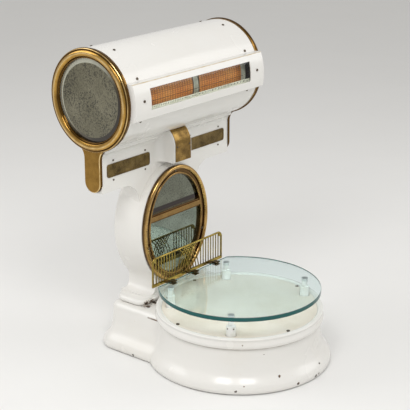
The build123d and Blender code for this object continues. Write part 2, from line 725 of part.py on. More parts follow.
# Sheet covers of the barrel: the long top cover and the belly, split along the window and the rear
shell_end = arm_half_length - 0.2
top_front = 180 - angle_at(panel_top_rise - 5, shell_radius)
belly_front = 180 + angle_at(panel_bottom_drop - 5, shell_radius)
rear_seam = -16.0
rear_window_half = 50.0
rear_low = 10.0
rear_high = 34.0
with BuildPart() as barrel_cover:
    add(shell_sector(-shell_end, shell_end, shell_radius, shell_radius - shell_thickness,
                     rear_seam, top_front - rear_seam))
    with BuildSketch(Plane.XZ.offset(-(column_y + shell_radius + 5))):
        with Locations((0, barrel_z + (rear_low + rear_high) / 2)):
            RectangleRounded(2 * rear_window_half, rear_high - rear_low, 3)
    extrude(amount=30, mode=Mode.SUBTRACT)
barrel_cover.part.label = "barrel_cover"
export_step(barrel_cover.part, "parts/barrel_cover.step")
with BuildPart() as belly_cover:
    add(shell_sector(-shell_end, shell_end, shell_radius, shell_radius - shell_thickness,
                     belly_front, 360 + rear_seam - belly_front - 0.3))
    with BuildSketch(Plane.XY.offset(barrel_z - shell_radius - 5)):
        with Locations((0, rod_y)):
            RectangleRounded(26, 34, 4)
    extrude(amount=20, mode=Mode.SUBTRACT)
belly_cover.part.label = "belly_cover"
export_step(belly_cover.part, "parts/belly_cover.step")

# Window panel: a raised hollow cover over the front of the barrel, with the long window
with BuildPart() as window_panel:
    with BuildSketch(Plane.YZ.offset(-panel_half_length)):
        with Locations((column_y, barrel_z)):
            Circle(panel_radius)
            Circle(shell_radius + glass_fit, mode=Mode.SUBTRACT)
        with Locations((column_y - panel_radius / 2 - 20,
                        barrel_z + (panel_top_rise - panel_bottom_drop) / 2)):
            Rectangle(panel_radius + 10, panel_top_rise + panel_bottom_drop, mode=Mode.INTERSECT)
    extrude(amount=2 * panel_half_length)
    fillet([e for e in window_panel.edges() if e.length > 300 and e.center().Y < column_y - 118], 3)
    with BuildSketch(Plane.YZ.offset(-panel_half_length + panel_thickness)):
        with Locations((column_y, barrel_z)):
            Circle(panel_radius - panel_thickness)
            Circle(shell_radius - 3, mode=Mode.SUBTRACT)
        with Locations((column_y - panel_radius / 2 - 20,
                        barrel_z + (panel_top_rise - panel_bottom_drop) / 2)):
            Rectangle(panel_radius + 10, panel_top_rise + panel_bottom_drop - 2 * panel_thickness,
                      mode=Mode.INTERSECT)
    extrude(amount=2 * (panel_half_length - panel_thickness), mode=Mode.SUBTRACT)
    with BuildSketch(Plane.XZ.offset(-(column_y - panel_radius + 20))):
        with Locations((0, barrel_z + (window_top_rise - window_bottom_drop) / 2)):
            RectangleRounded(2 * window_half_length, window_top_rise + window_bottom_drop, 2)
    extrude(amount=30, mode=Mode.SUBTRACT)
    for x in (-arm_half_length - 5, arm_half_length - glass_fit):
        with BuildSketch(Plane.YZ.offset(x)):
            with Locations((column_y, barrel_z)):
                Circle(ring_flange_radius + glass_fit)
        extrude(amount=5 + glass_fit, mode=Mode.SUBTRACT)
window_panel.part.label = "window_panel"
export_step(window_panel.part, "parts/window_panel.step")

# Curved window glass behind the opening
glass_radius = panel_radius - panel_thickness - glass_fit
glass_low = 180 - angle_at(window_top_rise + 5, glass_radius)
glass_high = 180 + angle_at(window_bottom_drop + 5, glass_radius)
with BuildPart() as window_glass:
    add(shell_sector(-window_half_length - 5, window_half_length + 5, glass_radius, glass_radius - 2.2,
                     glass_low, glass_high - glass_low))
window_glass.part.label = "window_glass"
export_step(window_glass.part, "parts/window_glass.step")

# White strip for the weights, standing on the panel's lower wall, and the reading wire
strip_y = column_y - panel_radius + 10.0
with BuildPart() as reading_strip:
    with BuildSketch(Plane.YZ.offset(-window_half_length - 6)):
        with Locations((strip_y, barrel_z + (-panel_bottom_drop + panel_thickness - 5.5) / 2)):
            Rectangle(1.2, panel_bottom_drop - panel_thickness - 5.5)
        with Locations((strip_y + 3.4, barrel_z - panel_bottom_drop + panel_thickness + 0.6)):
            Rectangle(8, 1.2)
    extrude(amount=2 * (window_half_length + 6))
reading_strip.part.label = "reading_strip"
export_step(reading_strip.part, "parts/reading_strip.step")
with BuildPart() as index_wire:
    with BuildSketch(Plane.YZ.offset(-panel_half_length + panel_thickness)):
        with Locations((column_y - shell_radius - 1.5, barrel_z + 4)):
            Circle(0.5)
    extrude(amount=2 * (panel_half_length - panel_thickness))
index_wire.part.label = "index_wire"
export_step(index_wire.part, "parts/index_wire.step")

# Small round-headed screws of the barrel covers and the window panel
barrel_screw_places = []
for x in (36 - arm_half_length, arm_half_length - 36):
    for angle in (180 - 28.9, 180 - 72.5, 180 + 19.2, 30.0, 90.0 - 17.5, -24.0):
        barrel_screw_places.append((x, angle, shell_radius))
    barrel_screw_places.append((x + math.copysign(10.2, x), 180 - 5.2, panel_radius))
with BuildPart() as barrel_screws:
    for x, angle, radius in barrel_screw_places:
        out = Vector(0, math.cos(math.radians(angle)), math.sin(math.radians(angle)))
        seat = Vector(x, column_y, barrel_z) + out * (radius + 0.05)
        with BuildSketch(Plane(origin=seat, x_dir=(1, 0, 0), z_dir=out)):
            Circle(3)
        extrude(amount=1.7)
barrel_screws.part.label = "barrel_screws"
export_step(barrel_screws.part, "parts/barrel_screws.step")

# Customer's weight window at the rear: a brass frame outside the cover and a curved glass inside
rear_start = angle_at(rear_low - 6, shell_radius)
rear_sweep = angle_at(rear_high + 6, shell_radius) - rear_start
with BuildPart() as rear_window_frame:
    add(shell_sector(-rear_window_half - 7, rear_window_half + 7, shell_radius + 1.8, shell_radius + 0.1,
                     rear_start, rear_sweep))
    with BuildSketch(Plane.XZ.offset(-(column_y + shell_radius + 5))):
        with Locations((0, barrel_z + (rear_low + rear_high) / 2)):
            RectangleRounded(2 * rear_window_half - 1, rear_high - rear_low - 1, 3)
    extrude(amount=30, mode=Mode.SUBTRACT)
rear_window_frame.part.label = "rear_window_frame"
export_step(rear_window_frame.part, "parts/rear_window_frame.step")
with BuildPart() as rear_window_glass:
    add(shell_sector(-rear_window_half - 5, rear_window_half + 5, shell_radius - shell_thickness - 0.1,
                     shell_radius - shell_thickness - 2.1, rear_start, rear_sweep))
rear_window_glass.part.label = "rear_window_glass"
export_step(rear_window_glass.part, "parts/rear_window_glass.step")

# Chart drum: two paper charts on light spoked wheels joined by rods, with a gap for the rack
wheel_places = [-drum_half_length + 2, drum_gap_left - 3, drum_gap_right + 3, drum_half_length - 2]
with BuildPart() as drum_frame:
    for x in wheel_places:
        with BuildSketch(Plane.YZ.offset(x)):
            with Locations((column_y, barrel_z)):
                Circle(drum_radius - 0.7)
                Circle(drum_radius - 5, mode=Mode.SUBTRACT)
                Circle(9)
                with PolarLocations(drum_radius / 2 + 1, 6):
                    Rectangle(drum_radius - 10, 4)
                Circle(shaft_radius, mode=Mode.SUBTRACT)
        extrude(amount=1.2, both=True)
    for x0, x1 in ((-drum_half_length + 2, drum_gap_left - 3), (drum_gap_right + 3, drum_half_length - 2)):
        with BuildSketch(Plane.YZ.offset(x0)):
            with Locations((column_y, barrel_z)):
                with PolarLocations(drum_radius - 4, 6, 30):
                    Circle(2)
        extrude(amount=x1 - x0)
    for x0, x1 in ((-drum_half_length, -drum_half_length + 10), (chart_right_end - 4, drum_half_length)):
        with BuildSketch(Plane.YZ.offset(x0)):
            with Locations((column_y, barrel_z)):
                Circle(drum_radius - 0.7)
                Circle(drum_radius - 1.7, mode=Mode.SUBTRACT)
        extrude(amount=x1 - x0)
drum_frame.part.label = "drum_frame"
export_step(drum_frame.part, "parts/drum_frame.step")
for name, x0, x1 in (
    ("chart_left", -drum_half_length, drum_gap_left),
    ("chart_right", drum_gap_right, chart_right_end),
):
    with BuildPart() as chart:
        with BuildSketch(Plane.YZ.offset(x0)):
            with Locations((column_y, barrel_z)):
                Circle(drum_radius)
                Circle(drum_radius - 0.6, mode=Mode.SUBTRACT)
        extrude(amount=x1 - x0)
    chart.part.label = name
    export_step(chart.part, "parts/" + name + ".step")
with BuildPart() as drum_shaft:
    with BuildSketch(Plane.YZ.offset(-arm_half_length + 5)):
        with Locations((column_y, barrel_z)):
            Circle(shaft_radius)
    extrude(amount=2 * (arm_half_length - 5))
drum_shaft.part.label = "drum_shaft"
export_step(drum_shaft.part, "parts/drum_shaft.step")

# Pinion on the shaft and the rack in front of it, cut to the same pitch
tooth_pitch = 2 * math.pi * pitch_radius / tooth_count
gear_width = 5.0
with BuildPart() as pinion:
    with BuildSketch(Plane.YZ.offset(-gear_width / 2)):
        with Locations((column_y, barrel_z)):
            Circle(pitch_radius - 0.9)
            with PolarLocations(pitch_radius - 0.25, tooth_count):
                Trapezoid(1.0, 2.0, 82, rotation=-90)
            Circle(shaft_radius, mode=Mode.SUBTRACT)
    extrude(amount=gear_width)
pinion.part.label = "pinion"
export_step(pinion.part, "parts/pinion.step")
rack_teeth = 24
rack_low = barrel_z - 3 * tooth_pitch
with BuildPart() as rack:
    with BuildSketch(Plane.YZ.offset(-gear_width / 2)):
        with Locations((column_y - pitch_radius - 4.2, rack_low + rack_teeth * tooth_pitch / 2)):
            Rectangle(6, rack_teeth * tooth_pitch)
        with Locations((column_y - pitch_radius - 0.3, rack_low + rack_teeth * tooth_pitch / 2)):
            with GridLocations(1, tooth_pitch, 1, rack_teeth):
                Trapezoid(1.0, 2.0, 82, rotation=-90)
    extrude(amount=gear_width)
rack.part.label = "rack"
export_step(rack.part, "parts/rack.step")

# Weighing lever: two rails that meet at a nose under the rod, tilted up when nothing is weighed
knife_half = knife_side / math.sqrt(2)
lever_tilt = math.atan(rack_travel / 2 / lever_length)
nose_run = lever_length / math.cos(lever_tilt)
lever_mid_z = fulcrum_z + knife_half
lever_plane = Plane(origin=(0, fulcrum_y, lever_mid_z), x_dir=(1, 0, 0),
                    z_dir=(0, -math.sin(lever_tilt), math.cos(lever_tilt)))
load_mid_z = lever_mid_z + load_arm * math.tan(lever_tilt)
nose_mid_z = lever_mid_z + lever_length * math.tan(lever_tilt)
knife_places = [
    (-rail_half_span - 15, -rail_half_span + 8, fulcrum_y, lever_mid_z),
    (rail_half_span - 8, rail_half_span + 15, fulcrum_y, lever_mid_z),
    (-rail_half_span - 15, -rail_half_span + 8, fulcrum_y + load_arm, load_mid_z),
    (rail_half_span - 8, rail_half_span + 15, fulcrum_y + load_arm, load_mid_z),
    (-7.5, 7.5, rod_y, nose_mid_z),
]
with BuildPart() as main_lever:
    with BuildSketch(lever_plane):
        with BuildLine():
            Polyline((-rail_half_span - 3, -8), (rail_half_span + 3, -8), (rail_half_span + 3, 92),
                     (6, nose_run - 20), (-6, nose_run - 20), (-rail_half_span - 3, 92), close=True)
        make_face()
        with BuildLine():
            Polyline((-rail_half_span + 3, 3), (rail_half_span - 3, 3), (rail_half_span - 3, 88),
                     (-rail_half_span + 3, 88), close=True)
        make_face(mode=Mode.SUBTRACT)
        with BuildLine():
            Polyline((-rail_half_span + 6, 98), (rail_half_span - 6, 98), (2, nose_run - 38),
                     (-2, nose_run - 38), close=True)
        make_face(mode=Mode.SUBTRACT)
    extrude(amount=lever_height / 2, both=True)
    with BuildSketch(lever_plane):
        with Locations((0, nose_run - 12)):
            Rectangle(10, 24)
    extrude(amount=2.5, both=True)
    for x0, x1, y, z in knife_places:
        with BuildSketch(Plane.YZ.offset(x0)):
            with Locations((y, z)):
                Rectangle(knife_side, knife_side, rotation=45)
        extrude(amount=x1 - x0, mode=Mode.SUBTRACT)
main_lever.part.label = "main_lever"
export_step(main_lever.part, "parts/main_lever.step")
with BuildPart() as lever_knives:
    for x0, x1, y, z in knife_places:
        with BuildSketch(Plane.YZ.offset(x0)):
            with Locations((y, z)):
                Rectangle(knife_side, knife_side, rotation=45)
        extrude(amount=x1 - x0)
lever_knives.part.label = "lever_knives"
export_step(lever_knives.part, "parts/lever_knives.step")

# Stands on the rib with a shallow groove for each fulcrum knife
stand_x = rail_half_span + 11
with BuildPart() as fulcrum_stands:
    for x in (-stand_x, stand_x):
        with BuildSketch(Plane.XY.offset(rib_top_z)):
            with Locations((x, fulcrum_y)):
                RectangleRounded(9, 14, 2)
        extrude(amount=5)
        with BuildSketch(Plane.YZ.offset(x - 3.5)):
            with BuildLine():
                Polyline((fulcrum_y - 5, rib_top_z + 5), (fulcrum_y - 5, fulcrum_z + 1),
                         (fulcrum_y - 3.7, fulcrum_z + 1),
                         (fulcrum_y, fulcrum_z - knife_gap), (fulcrum_y + 3.7, fulcrum_z + 1),
                         (fulcrum_y + 5, fulcrum_z + 1), (fulcrum_y + 5, rib_top_z + 5), close=True)
            make_face()
        extrude(amount=7)
fulcrum_stands.part.label = "fulcrum_stands"
export_step(fulcrum_stands.part, "parts/fulcrum_stands.step")

# Check link that keeps the platform upright, and its forked bracket on the rib
link_pin_z = 34.0
link_rise = load_mid_z + knife_half - fulcrum_z
link_angle = math.degrees(math.atan2(link_rise, load_arm))
link_length = math.hypot(link_rise, load_arm)
link_pin_radius = 1.5
with BuildPart() as link_bracket:
    for x in (-6, 2.6):
        with BuildSketch(Plane.YZ.offset(x)):
            with Locations((fulcrum_y, (rib_top_z + link_pin_z) / 2)):
                Rectangle(8, link_pin_z - rib_top_z)
            with Locations((fulcrum_y, link_pin_z)):
                Circle(4)
            with Locations((fulcrum_y, rib_top_z - 5)):
                Rectangle(10, 10, mode=Mode.SUBTRACT)
        extrude(amount=3.4)
    with BuildSketch(Plane.YZ.offset(-6)):
        with Locations((fulcrum_y, link_pin_z)):
            Circle(link_pin_radius)
    extrude(amount=12)
link_bracket.part.label = "link_bracket"
export_step(link_bracket.part, "parts/link_bracket.step")
with BuildPart() as check_link:
    with BuildSketch(Plane(origin=(-2.2, fulcrum_y, link_pin_z),
                           x_dir=(0, math.cos(math.radians(link_angle)),
                     math.sin(math.radians(link_angle))), z_dir=(1, 0, 0))):
        with Locations((link_length / 2, 0)):
            SlotCenterToCenter(link_length, 7)
        Circle(link_pin_radius + running_fit, mode=Mode.SUBTRACT)
        with Locations((link_length - 0.6, 0)):
            SlotOverall(5.8, 2 * link_pin_radius + 0.8, mode=Mode.SUBTRACT)
    extrude(amount=4.4)
check_link.part.label = "check_link"
export_step(check_link.part, "parts/check_link.step")

# Spider under the deck: it hangs on the load knives and carries the four posts
with BuildPart() as platform_spider:
    with BuildSketch(Plane.XY.offset(spider_bottom_z)):
        with Locations((0, base_y)):
            RectangleRounded(2 * stand_x + 16, 18, 3)
        for x, y in posts:
            side = math.copysign(stand_x, x)
            run = Vector(x - side, y - base_y)
            with Locations((side + run.X / 2, base_y + run.Y / 2)):
                Rectangle(run.length, 12, rotation=math.degrees(math.atan2(run.Y, run.X)))
        with Locations(*posts):
            Circle(12)
    extrude(amount=spider_thickness)
    for x in (-stand_x, stand_x):
        with BuildSketch(Plane.YZ.offset(x - 3.5)):
            with BuildLine():
                seat_z = load_mid_z + knife_half
                Polyline((base_y - 6, spider_bottom_z + 1), (base_y - 6, seat_z - 1),
                         (base_y - 3.7, seat_z - 1),
                         (base_y, seat_z + knife_gap), (base_y + 3.7, seat_z - 1),
                         (base_y + 6, seat_z - 1), (base_y + 6, spider_bottom_z + 1), close=True)
            make_face()
        extrude(amount=7)
    for x in (-6, 2.6):
        with BuildSketch(Plane.YZ.offset(x)):
            with Locations((base_y, (link_pin_z + link_rise + spider_bottom_z + 1) / 2)):
                Rectangle(8, spider_bottom_z + 1 - link_pin_z - link_rise)
            with Locations((base_y, link_pin_z + link_rise)):
                Circle(4)
        extrude(amount=3.4)
    with BuildSketch(Plane.YZ.offset(-6)):
        with Locations((base_y, link_pin_z + link_rise)):
            Circle(link_pin_radius)
    extrude(amount=12)
platform_spider.part.label = "platform_spider"
export_step(platform_spider.part, "parts/platform_spider.step")

# Posts with their sleeves through the deck and soft pads under the glass
spider_top_z = spider_bottom_z + spider_thickness
platter_bottom_z = platter_top_z - platter_thickness
pad_height = 6.8
post_top_z = platter_bottom_z - pad_height
sleeve_top_z = post_top_z - 12.0
sleeve_bottom_z = deck_top_z - 20.0
with BuildPart() as platform_posts:
    with BuildSketch(Plane.XY.offset(spider_top_z)):
        with Locations(*posts):
            Circle(post_radius)
    extrude(amount=post_top_z - spider_top_z)
platform_posts.part.label = "platform_posts"
export_step(platform_posts.part, "parts/platform_posts.step")
with BuildPart() as post_sleeves:
    for x, y in posts:
        with BuildSketch(Plane.XY.offset(sleeve_bottom_z)):
            with Locations((x, y)):
                Circle(socket_radius)
                Circle(post_radius + 0.05, mode=Mode.SUBTRACT)
        extrude(amount=sleeve_top_z - sleeve_bottom_z)
    rim = [e for e in post_sleeves.edges()
           if e.geom_type == GeomType.CIRCLE and abs(e.radius - socket_radius) < 0.01]
    fillet([e for e in rim if e.center().Z > sleeve_top_z - 1], 2)
post_sleeves.part.label = "post_sleeves"
export_step(post_sleeves.part, "parts/post_sleeves.step")
with BuildPart() as post_pads:
    with BuildSketch(Plane.XY.offset(post_top_z)):
        with Locations(*posts):
            Circle(post_radius + 1)
    extrude(amount=platter_bottom_z - post_top_z)
post_pads.part.label = "post_pads"
export_step(post_pads.part, "parts/post_pads.step")

# Glass platter: a thick disc cut straight along the fence
with BuildPart() as glass_platter:
    with BuildSketch(Plane.XY.offset(platter_bottom_z)):
        with Locations((0, base_y)):
            Circle(platter_radius)
        with Locations((0, base_y + platter_chord + platter_radius / 2)):
            Rectangle(2 * platter_radius, platter_radius, mode=Mode.SUBTRACT)
    extrude(amount=platter_thickness)
    fillet(glass_platter.edges().group_by(Axis.Z)[-1] + glass_platter.edges().group_by(Axis.Z)[0], 1.5)
glass_platter.part.label = "glass_platter"
export_step(glass_platter.part, "parts/glass_platter.step")

# Brass fence: strip, end rods with rounded corners, top rod, bars and crossing arcs
rail_radius = 2.4
corner_radius = 12.0
strip_height = 7.5
fence_rail_z = fence_top_z - rail_radius
end_bar_x = fence_half_width - rail_radius
with BuildPart() as fence:
    with BuildSketch(Plane.XZ.offset(-fence_y)):
        with Locations((0, fence_bottom_z + strip_height / 2)):
            Rectangle(2 * fence_half_width, strip_height)
    extrude(amount=1.5, both=True)
    with BuildLine(Plane.XZ.offset(-fence_y)) as fence_outline:
        FilletPolyline((-end_bar_x, fence_bottom_z + strip_height / 2), (-end_bar_x, fence_rail_z),
                       (end_bar_x, fence_rail_z), (end_bar_x, fence_bottom_z + strip_height / 2),
                       radius=corner_radius)
    with BuildSketch(Plane(origin=fence_outline.line @ 0, z_dir=fence_outline.line % 0)):
        Circle(rail_radius)
    sweep(path=fence_outline.line)
    bar_bottom = fence_bottom_z + strip_height - 1
    count = int((fence_half_width - 12) / fence_bar_pitch)
    for n in range(-count, count + 1):
        x = n * fence_bar_pitch
        if abs(x) > 44:
            with BuildSketch(Plane.XY.offset(bar_bottom)):
                with Locations((x, fence_y)):
                    Circle(fence_bar_radius)
            extrude(amount=fence_rail_z - bar_bottom)
    for n in range(5):
        for side in (-1, 1):
            foot_x = side * (38.4 - fence_bar_pitch * n)
            head_x = side * (38.4 - fence_bar_pitch * n - 34)
            mid_x = foot_x + (head_x - foot_x) * 0.32
            mid_z = (bar_bottom + fence_rail_z) / 2 + 4
            with BuildLine(Plane.XZ.offset(-fence_y + side * 0.9)) as arc:
                ThreePointArc((foot_x, bar_bottom), (mid_x, mid_z), (head_x, fence_rail_z - 0.5))
            with BuildSketch(Plane(origin=arc.line @ 0, z_dir=arc.line % 0)):
                Circle(fence_bar_radius)
            sweep(path=arc.line)
    with BuildSketch(Plane.XZ.offset(-fence_y)):
        with Locations((-end_bar_x + 6.5, fence_rail_z - 6.5), (end_bar_x - 6.5, fence_rail_z - 6.5)):
            Circle(4.2)
    extrude(amount=1.6, both=True)
fence.part.label = "fence"
export_step(fence.part, "parts/fence.step")

# Clips that hold the fence to the glass
chord_y = base_y + platter_chord
with BuildPart() as fence_clips:
    for x in (-80, 0, 80):
        with BuildSketch(Plane.YZ.offset(x - 7)):
            with BuildLine():
                Polyline((chord_y - 12, platter_top_z), (chord_y, platter_top_z),
                         (chord_y, platter_bottom_z),
                         (chord_y - 12, platter_bottom_z), (chord_y - 12, platter_bottom_z - 2.5),
                         (chord_y + 2.5, platter_bottom_z - 2.5), (chord_y + 2.5, platter_bottom_z + 3.5),
                         (fence_y - 1.5, platter_bottom_z + 3.5), (fence_y - 1.5, platter_bottom_z + 6.5),
                         (chord_y + 2.5, platter_bottom_z + 6.5), (chord_y + 2.5, platter_top_z + 2.5),
                         (chord_y - 12, platter_top_z + 2.5), close=True)
            make_face()
        extrude(amount=14)
fence_clips.part.label = "fence_clips"
export_step(fence_clips.part, "parts/fence_clips.step")

# Stirrup under the lever's nose, and the draft rod from it to the rack
stirrup_bar_z = nose_mid_z - knife_half - knife_gap
stirrup_top_z = nose_mid_z + 20
with BuildPart() as stirrup:
    with BuildSketch(Plane.XZ.offset(-rod_y)):
        with Locations((0, (stirrup_bar_z - 6 + stirrup_top_z) / 2)):
            RectangleRounded(28, stirrup_top_z - stirrup_bar_z + 6, 4)
        with Locations((0, (stirrup_bar_z + stirrup_top_z - 8) / 2)):
            Rectangle(18, stirrup_top_z - 8 - stirrup_bar_z, mode=Mode.SUBTRACT)
    extrude(amount=3, both=True)
stirrup.part.label = "stirrup"
export_step(stirrup.part, "parts/stirrup.step")
with BuildPart() as draft_rod:
    with BuildSketch(Plane.XY.offset(stirrup_top_z)):
        with Locations((0, rod_y)):
            Circle(rod_radius)
    extrude(amount=rack_low - stirrup_top_z)
draft_rod.part.label = "draft_rod"
export_step(draft_rod.part, "parts/draft_rod.step")

# Crosshead clamped on the rod, pulled up by two springs that hang from a bar across the column
crosshead_height = 8.0
hanger_height = 8.0
with BuildPart() as crosshead:
    with BuildSketch(Plane.XY.offset(crosshead_z)):
        with Locations(((dashpot_x + spring_x) / 2 + 1, rod_y)):
            RectangleRounded(spring_x - dashpot_x + 14, 10, 3)
        with Locations((0, rod_y)):
            Circle(9)
            Circle(rod_radius + 0.05, mode=Mode.SUBTRACT)
    extrude(amount=crosshead_height)
crosshead.part.label = "crosshead"
export_step(crosshead.part, "parts/crosshead.step")
with BuildPart() as spring_hanger:
    with BuildSketch(Plane.XY.offset(hanger_z)):
        with Locations((0, rod_y)):
            RectangleRounded(2 * lug_x - 5, 14, 3)
            Circle(rod_radius + 2, mode=Mode.SUBTRACT)
    extrude(amount=hanger_height)
spring_hanger.part.label = "spring_hanger"
export_step(spring_hanger.part, "parts/spring_hanger.step")
for name, x in (("spring_left", -spring_x), ("spring_right", spring_x)):
    with BuildPart() as spring:
        with BuildSketch(Plane.XY.offset(crosshead_z + crosshead_height)):
            with Locations((x, rod_y)):
                Circle(spring_radius)
                Circle(spring_radius - spring_wire, mode=Mode.SUBTRACT)
        extrude(amount=hanger_z - crosshead_z - crosshead_height)
    spring.part.label = name
    export_step(spring.part, "parts/" + name + ".step")

# Oil dashpot beside the rod, its lid, and the plunger that hangs from the crosshead
dashpot_top_z = plinth_top_z + 90.0
piston_z = dashpot_top_z - 22.0
with BuildPart() as dashpot_cylinder:
    with BuildSketch(Plane.XY.offset(plinth_top_z)):
        with Locations((dashpot_x, rod_y)):
            Circle(dashpot_radius)
    extrude(amount=dashpot_top_z - plinth_top_z)
    with BuildSketch(Plane.XY.offset(plinth_top_z + 3)):
        with Locations((dashpot_x, rod_y)):
            Circle(dashpot_radius - dashpot_wall)
    extrude(amount=dashpot_top_z - plinth_top_z, mode=Mode.SUBTRACT)
dashpot_cylinder.part.label = "dashpot_cylinder"
export_step(dashpot_cylinder.part, "parts/dashpot_cylinder.step")
with BuildPart() as dashpot_lid:
    with BuildSketch(Plane.XY.offset(dashpot_top_z)):
        with Locations((dashpot_x, rod_y)):
            Circle(dashpot_radius + 1)
            Circle(3.2, mode=Mode.SUBTRACT)
    extrude(amount=3)
dashpot_lid.part.label = "dashpot_lid"
export_step(dashpot_lid.part, "parts/dashpot_lid.step")
with BuildPart() as dashpot_plunger:
    with BuildSketch(Plane.XY.offset(piston_z)):
        with Locations((dashpot_x, rod_y)):
            Circle(dashpot_radius - dashpot_wall - 0.5)
            with PolarLocations(7, 6):
                Circle(1.5, mode=Mode.SUBTRACT)
    extrude(amount=4)
    with BuildSketch(Plane.XY.offset(piston_z + 4)):
        with Locations((dashpot_x, rod_y)):
            Circle(2)
    extrude(amount=crosshead_z - piston_z - 4)
dashpot_plunger.part.label = "dashpot_plunger"
export_step(dashpot_plunger.part, "parts/dashpot_plunger.step")
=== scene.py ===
"""Looks of a counter computing scale: materials, figures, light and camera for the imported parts."""

import logging
import math
from dataclasses import dataclass
from enum import Enum
from typing import Optional, Protocol, Sequence

import bmesh
import bpy
from mathutils import Matrix, Vector


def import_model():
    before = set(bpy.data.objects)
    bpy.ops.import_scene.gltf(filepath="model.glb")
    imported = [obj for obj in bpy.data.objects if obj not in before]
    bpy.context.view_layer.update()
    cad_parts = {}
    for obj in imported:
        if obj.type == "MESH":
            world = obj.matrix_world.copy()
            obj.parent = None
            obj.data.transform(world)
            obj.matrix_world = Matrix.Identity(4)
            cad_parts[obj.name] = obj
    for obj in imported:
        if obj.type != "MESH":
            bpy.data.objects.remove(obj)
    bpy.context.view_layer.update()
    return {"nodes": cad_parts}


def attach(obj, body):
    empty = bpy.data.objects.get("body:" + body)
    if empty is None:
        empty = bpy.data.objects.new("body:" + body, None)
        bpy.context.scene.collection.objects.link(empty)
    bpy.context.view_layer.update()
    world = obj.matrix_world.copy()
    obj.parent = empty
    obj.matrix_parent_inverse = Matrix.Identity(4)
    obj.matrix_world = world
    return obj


log = logging.getLogger("computing_scale")

Colour = tuple[float, float, float]
Point = tuple[float, float, float]
Spots = tuple[tuple[Point, float], ...]
Stops = tuple[tuple[float, Colour], ...]
Socket = bpy.types.NodeSocket

COLUMN_Y = 0.1689
BARREL_Z = 0.6252
BASE_Y = -0.0705
DRUM_RADIUS = 0.104
FRAME_CREST_Y = 0.1184
FRAME_DEEP_Y = 0.1232
PANEL_TOP_Z = 0.6762
MIX_COLOUR_INPUTS = (0, 6, 7)
MIX_COLOUR_OUTPUT = 2


class Body(Enum):
    """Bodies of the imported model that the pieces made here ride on."""

    FRAME = "frame"
    DRUM = "drum"
    PLATFORM = "platform"


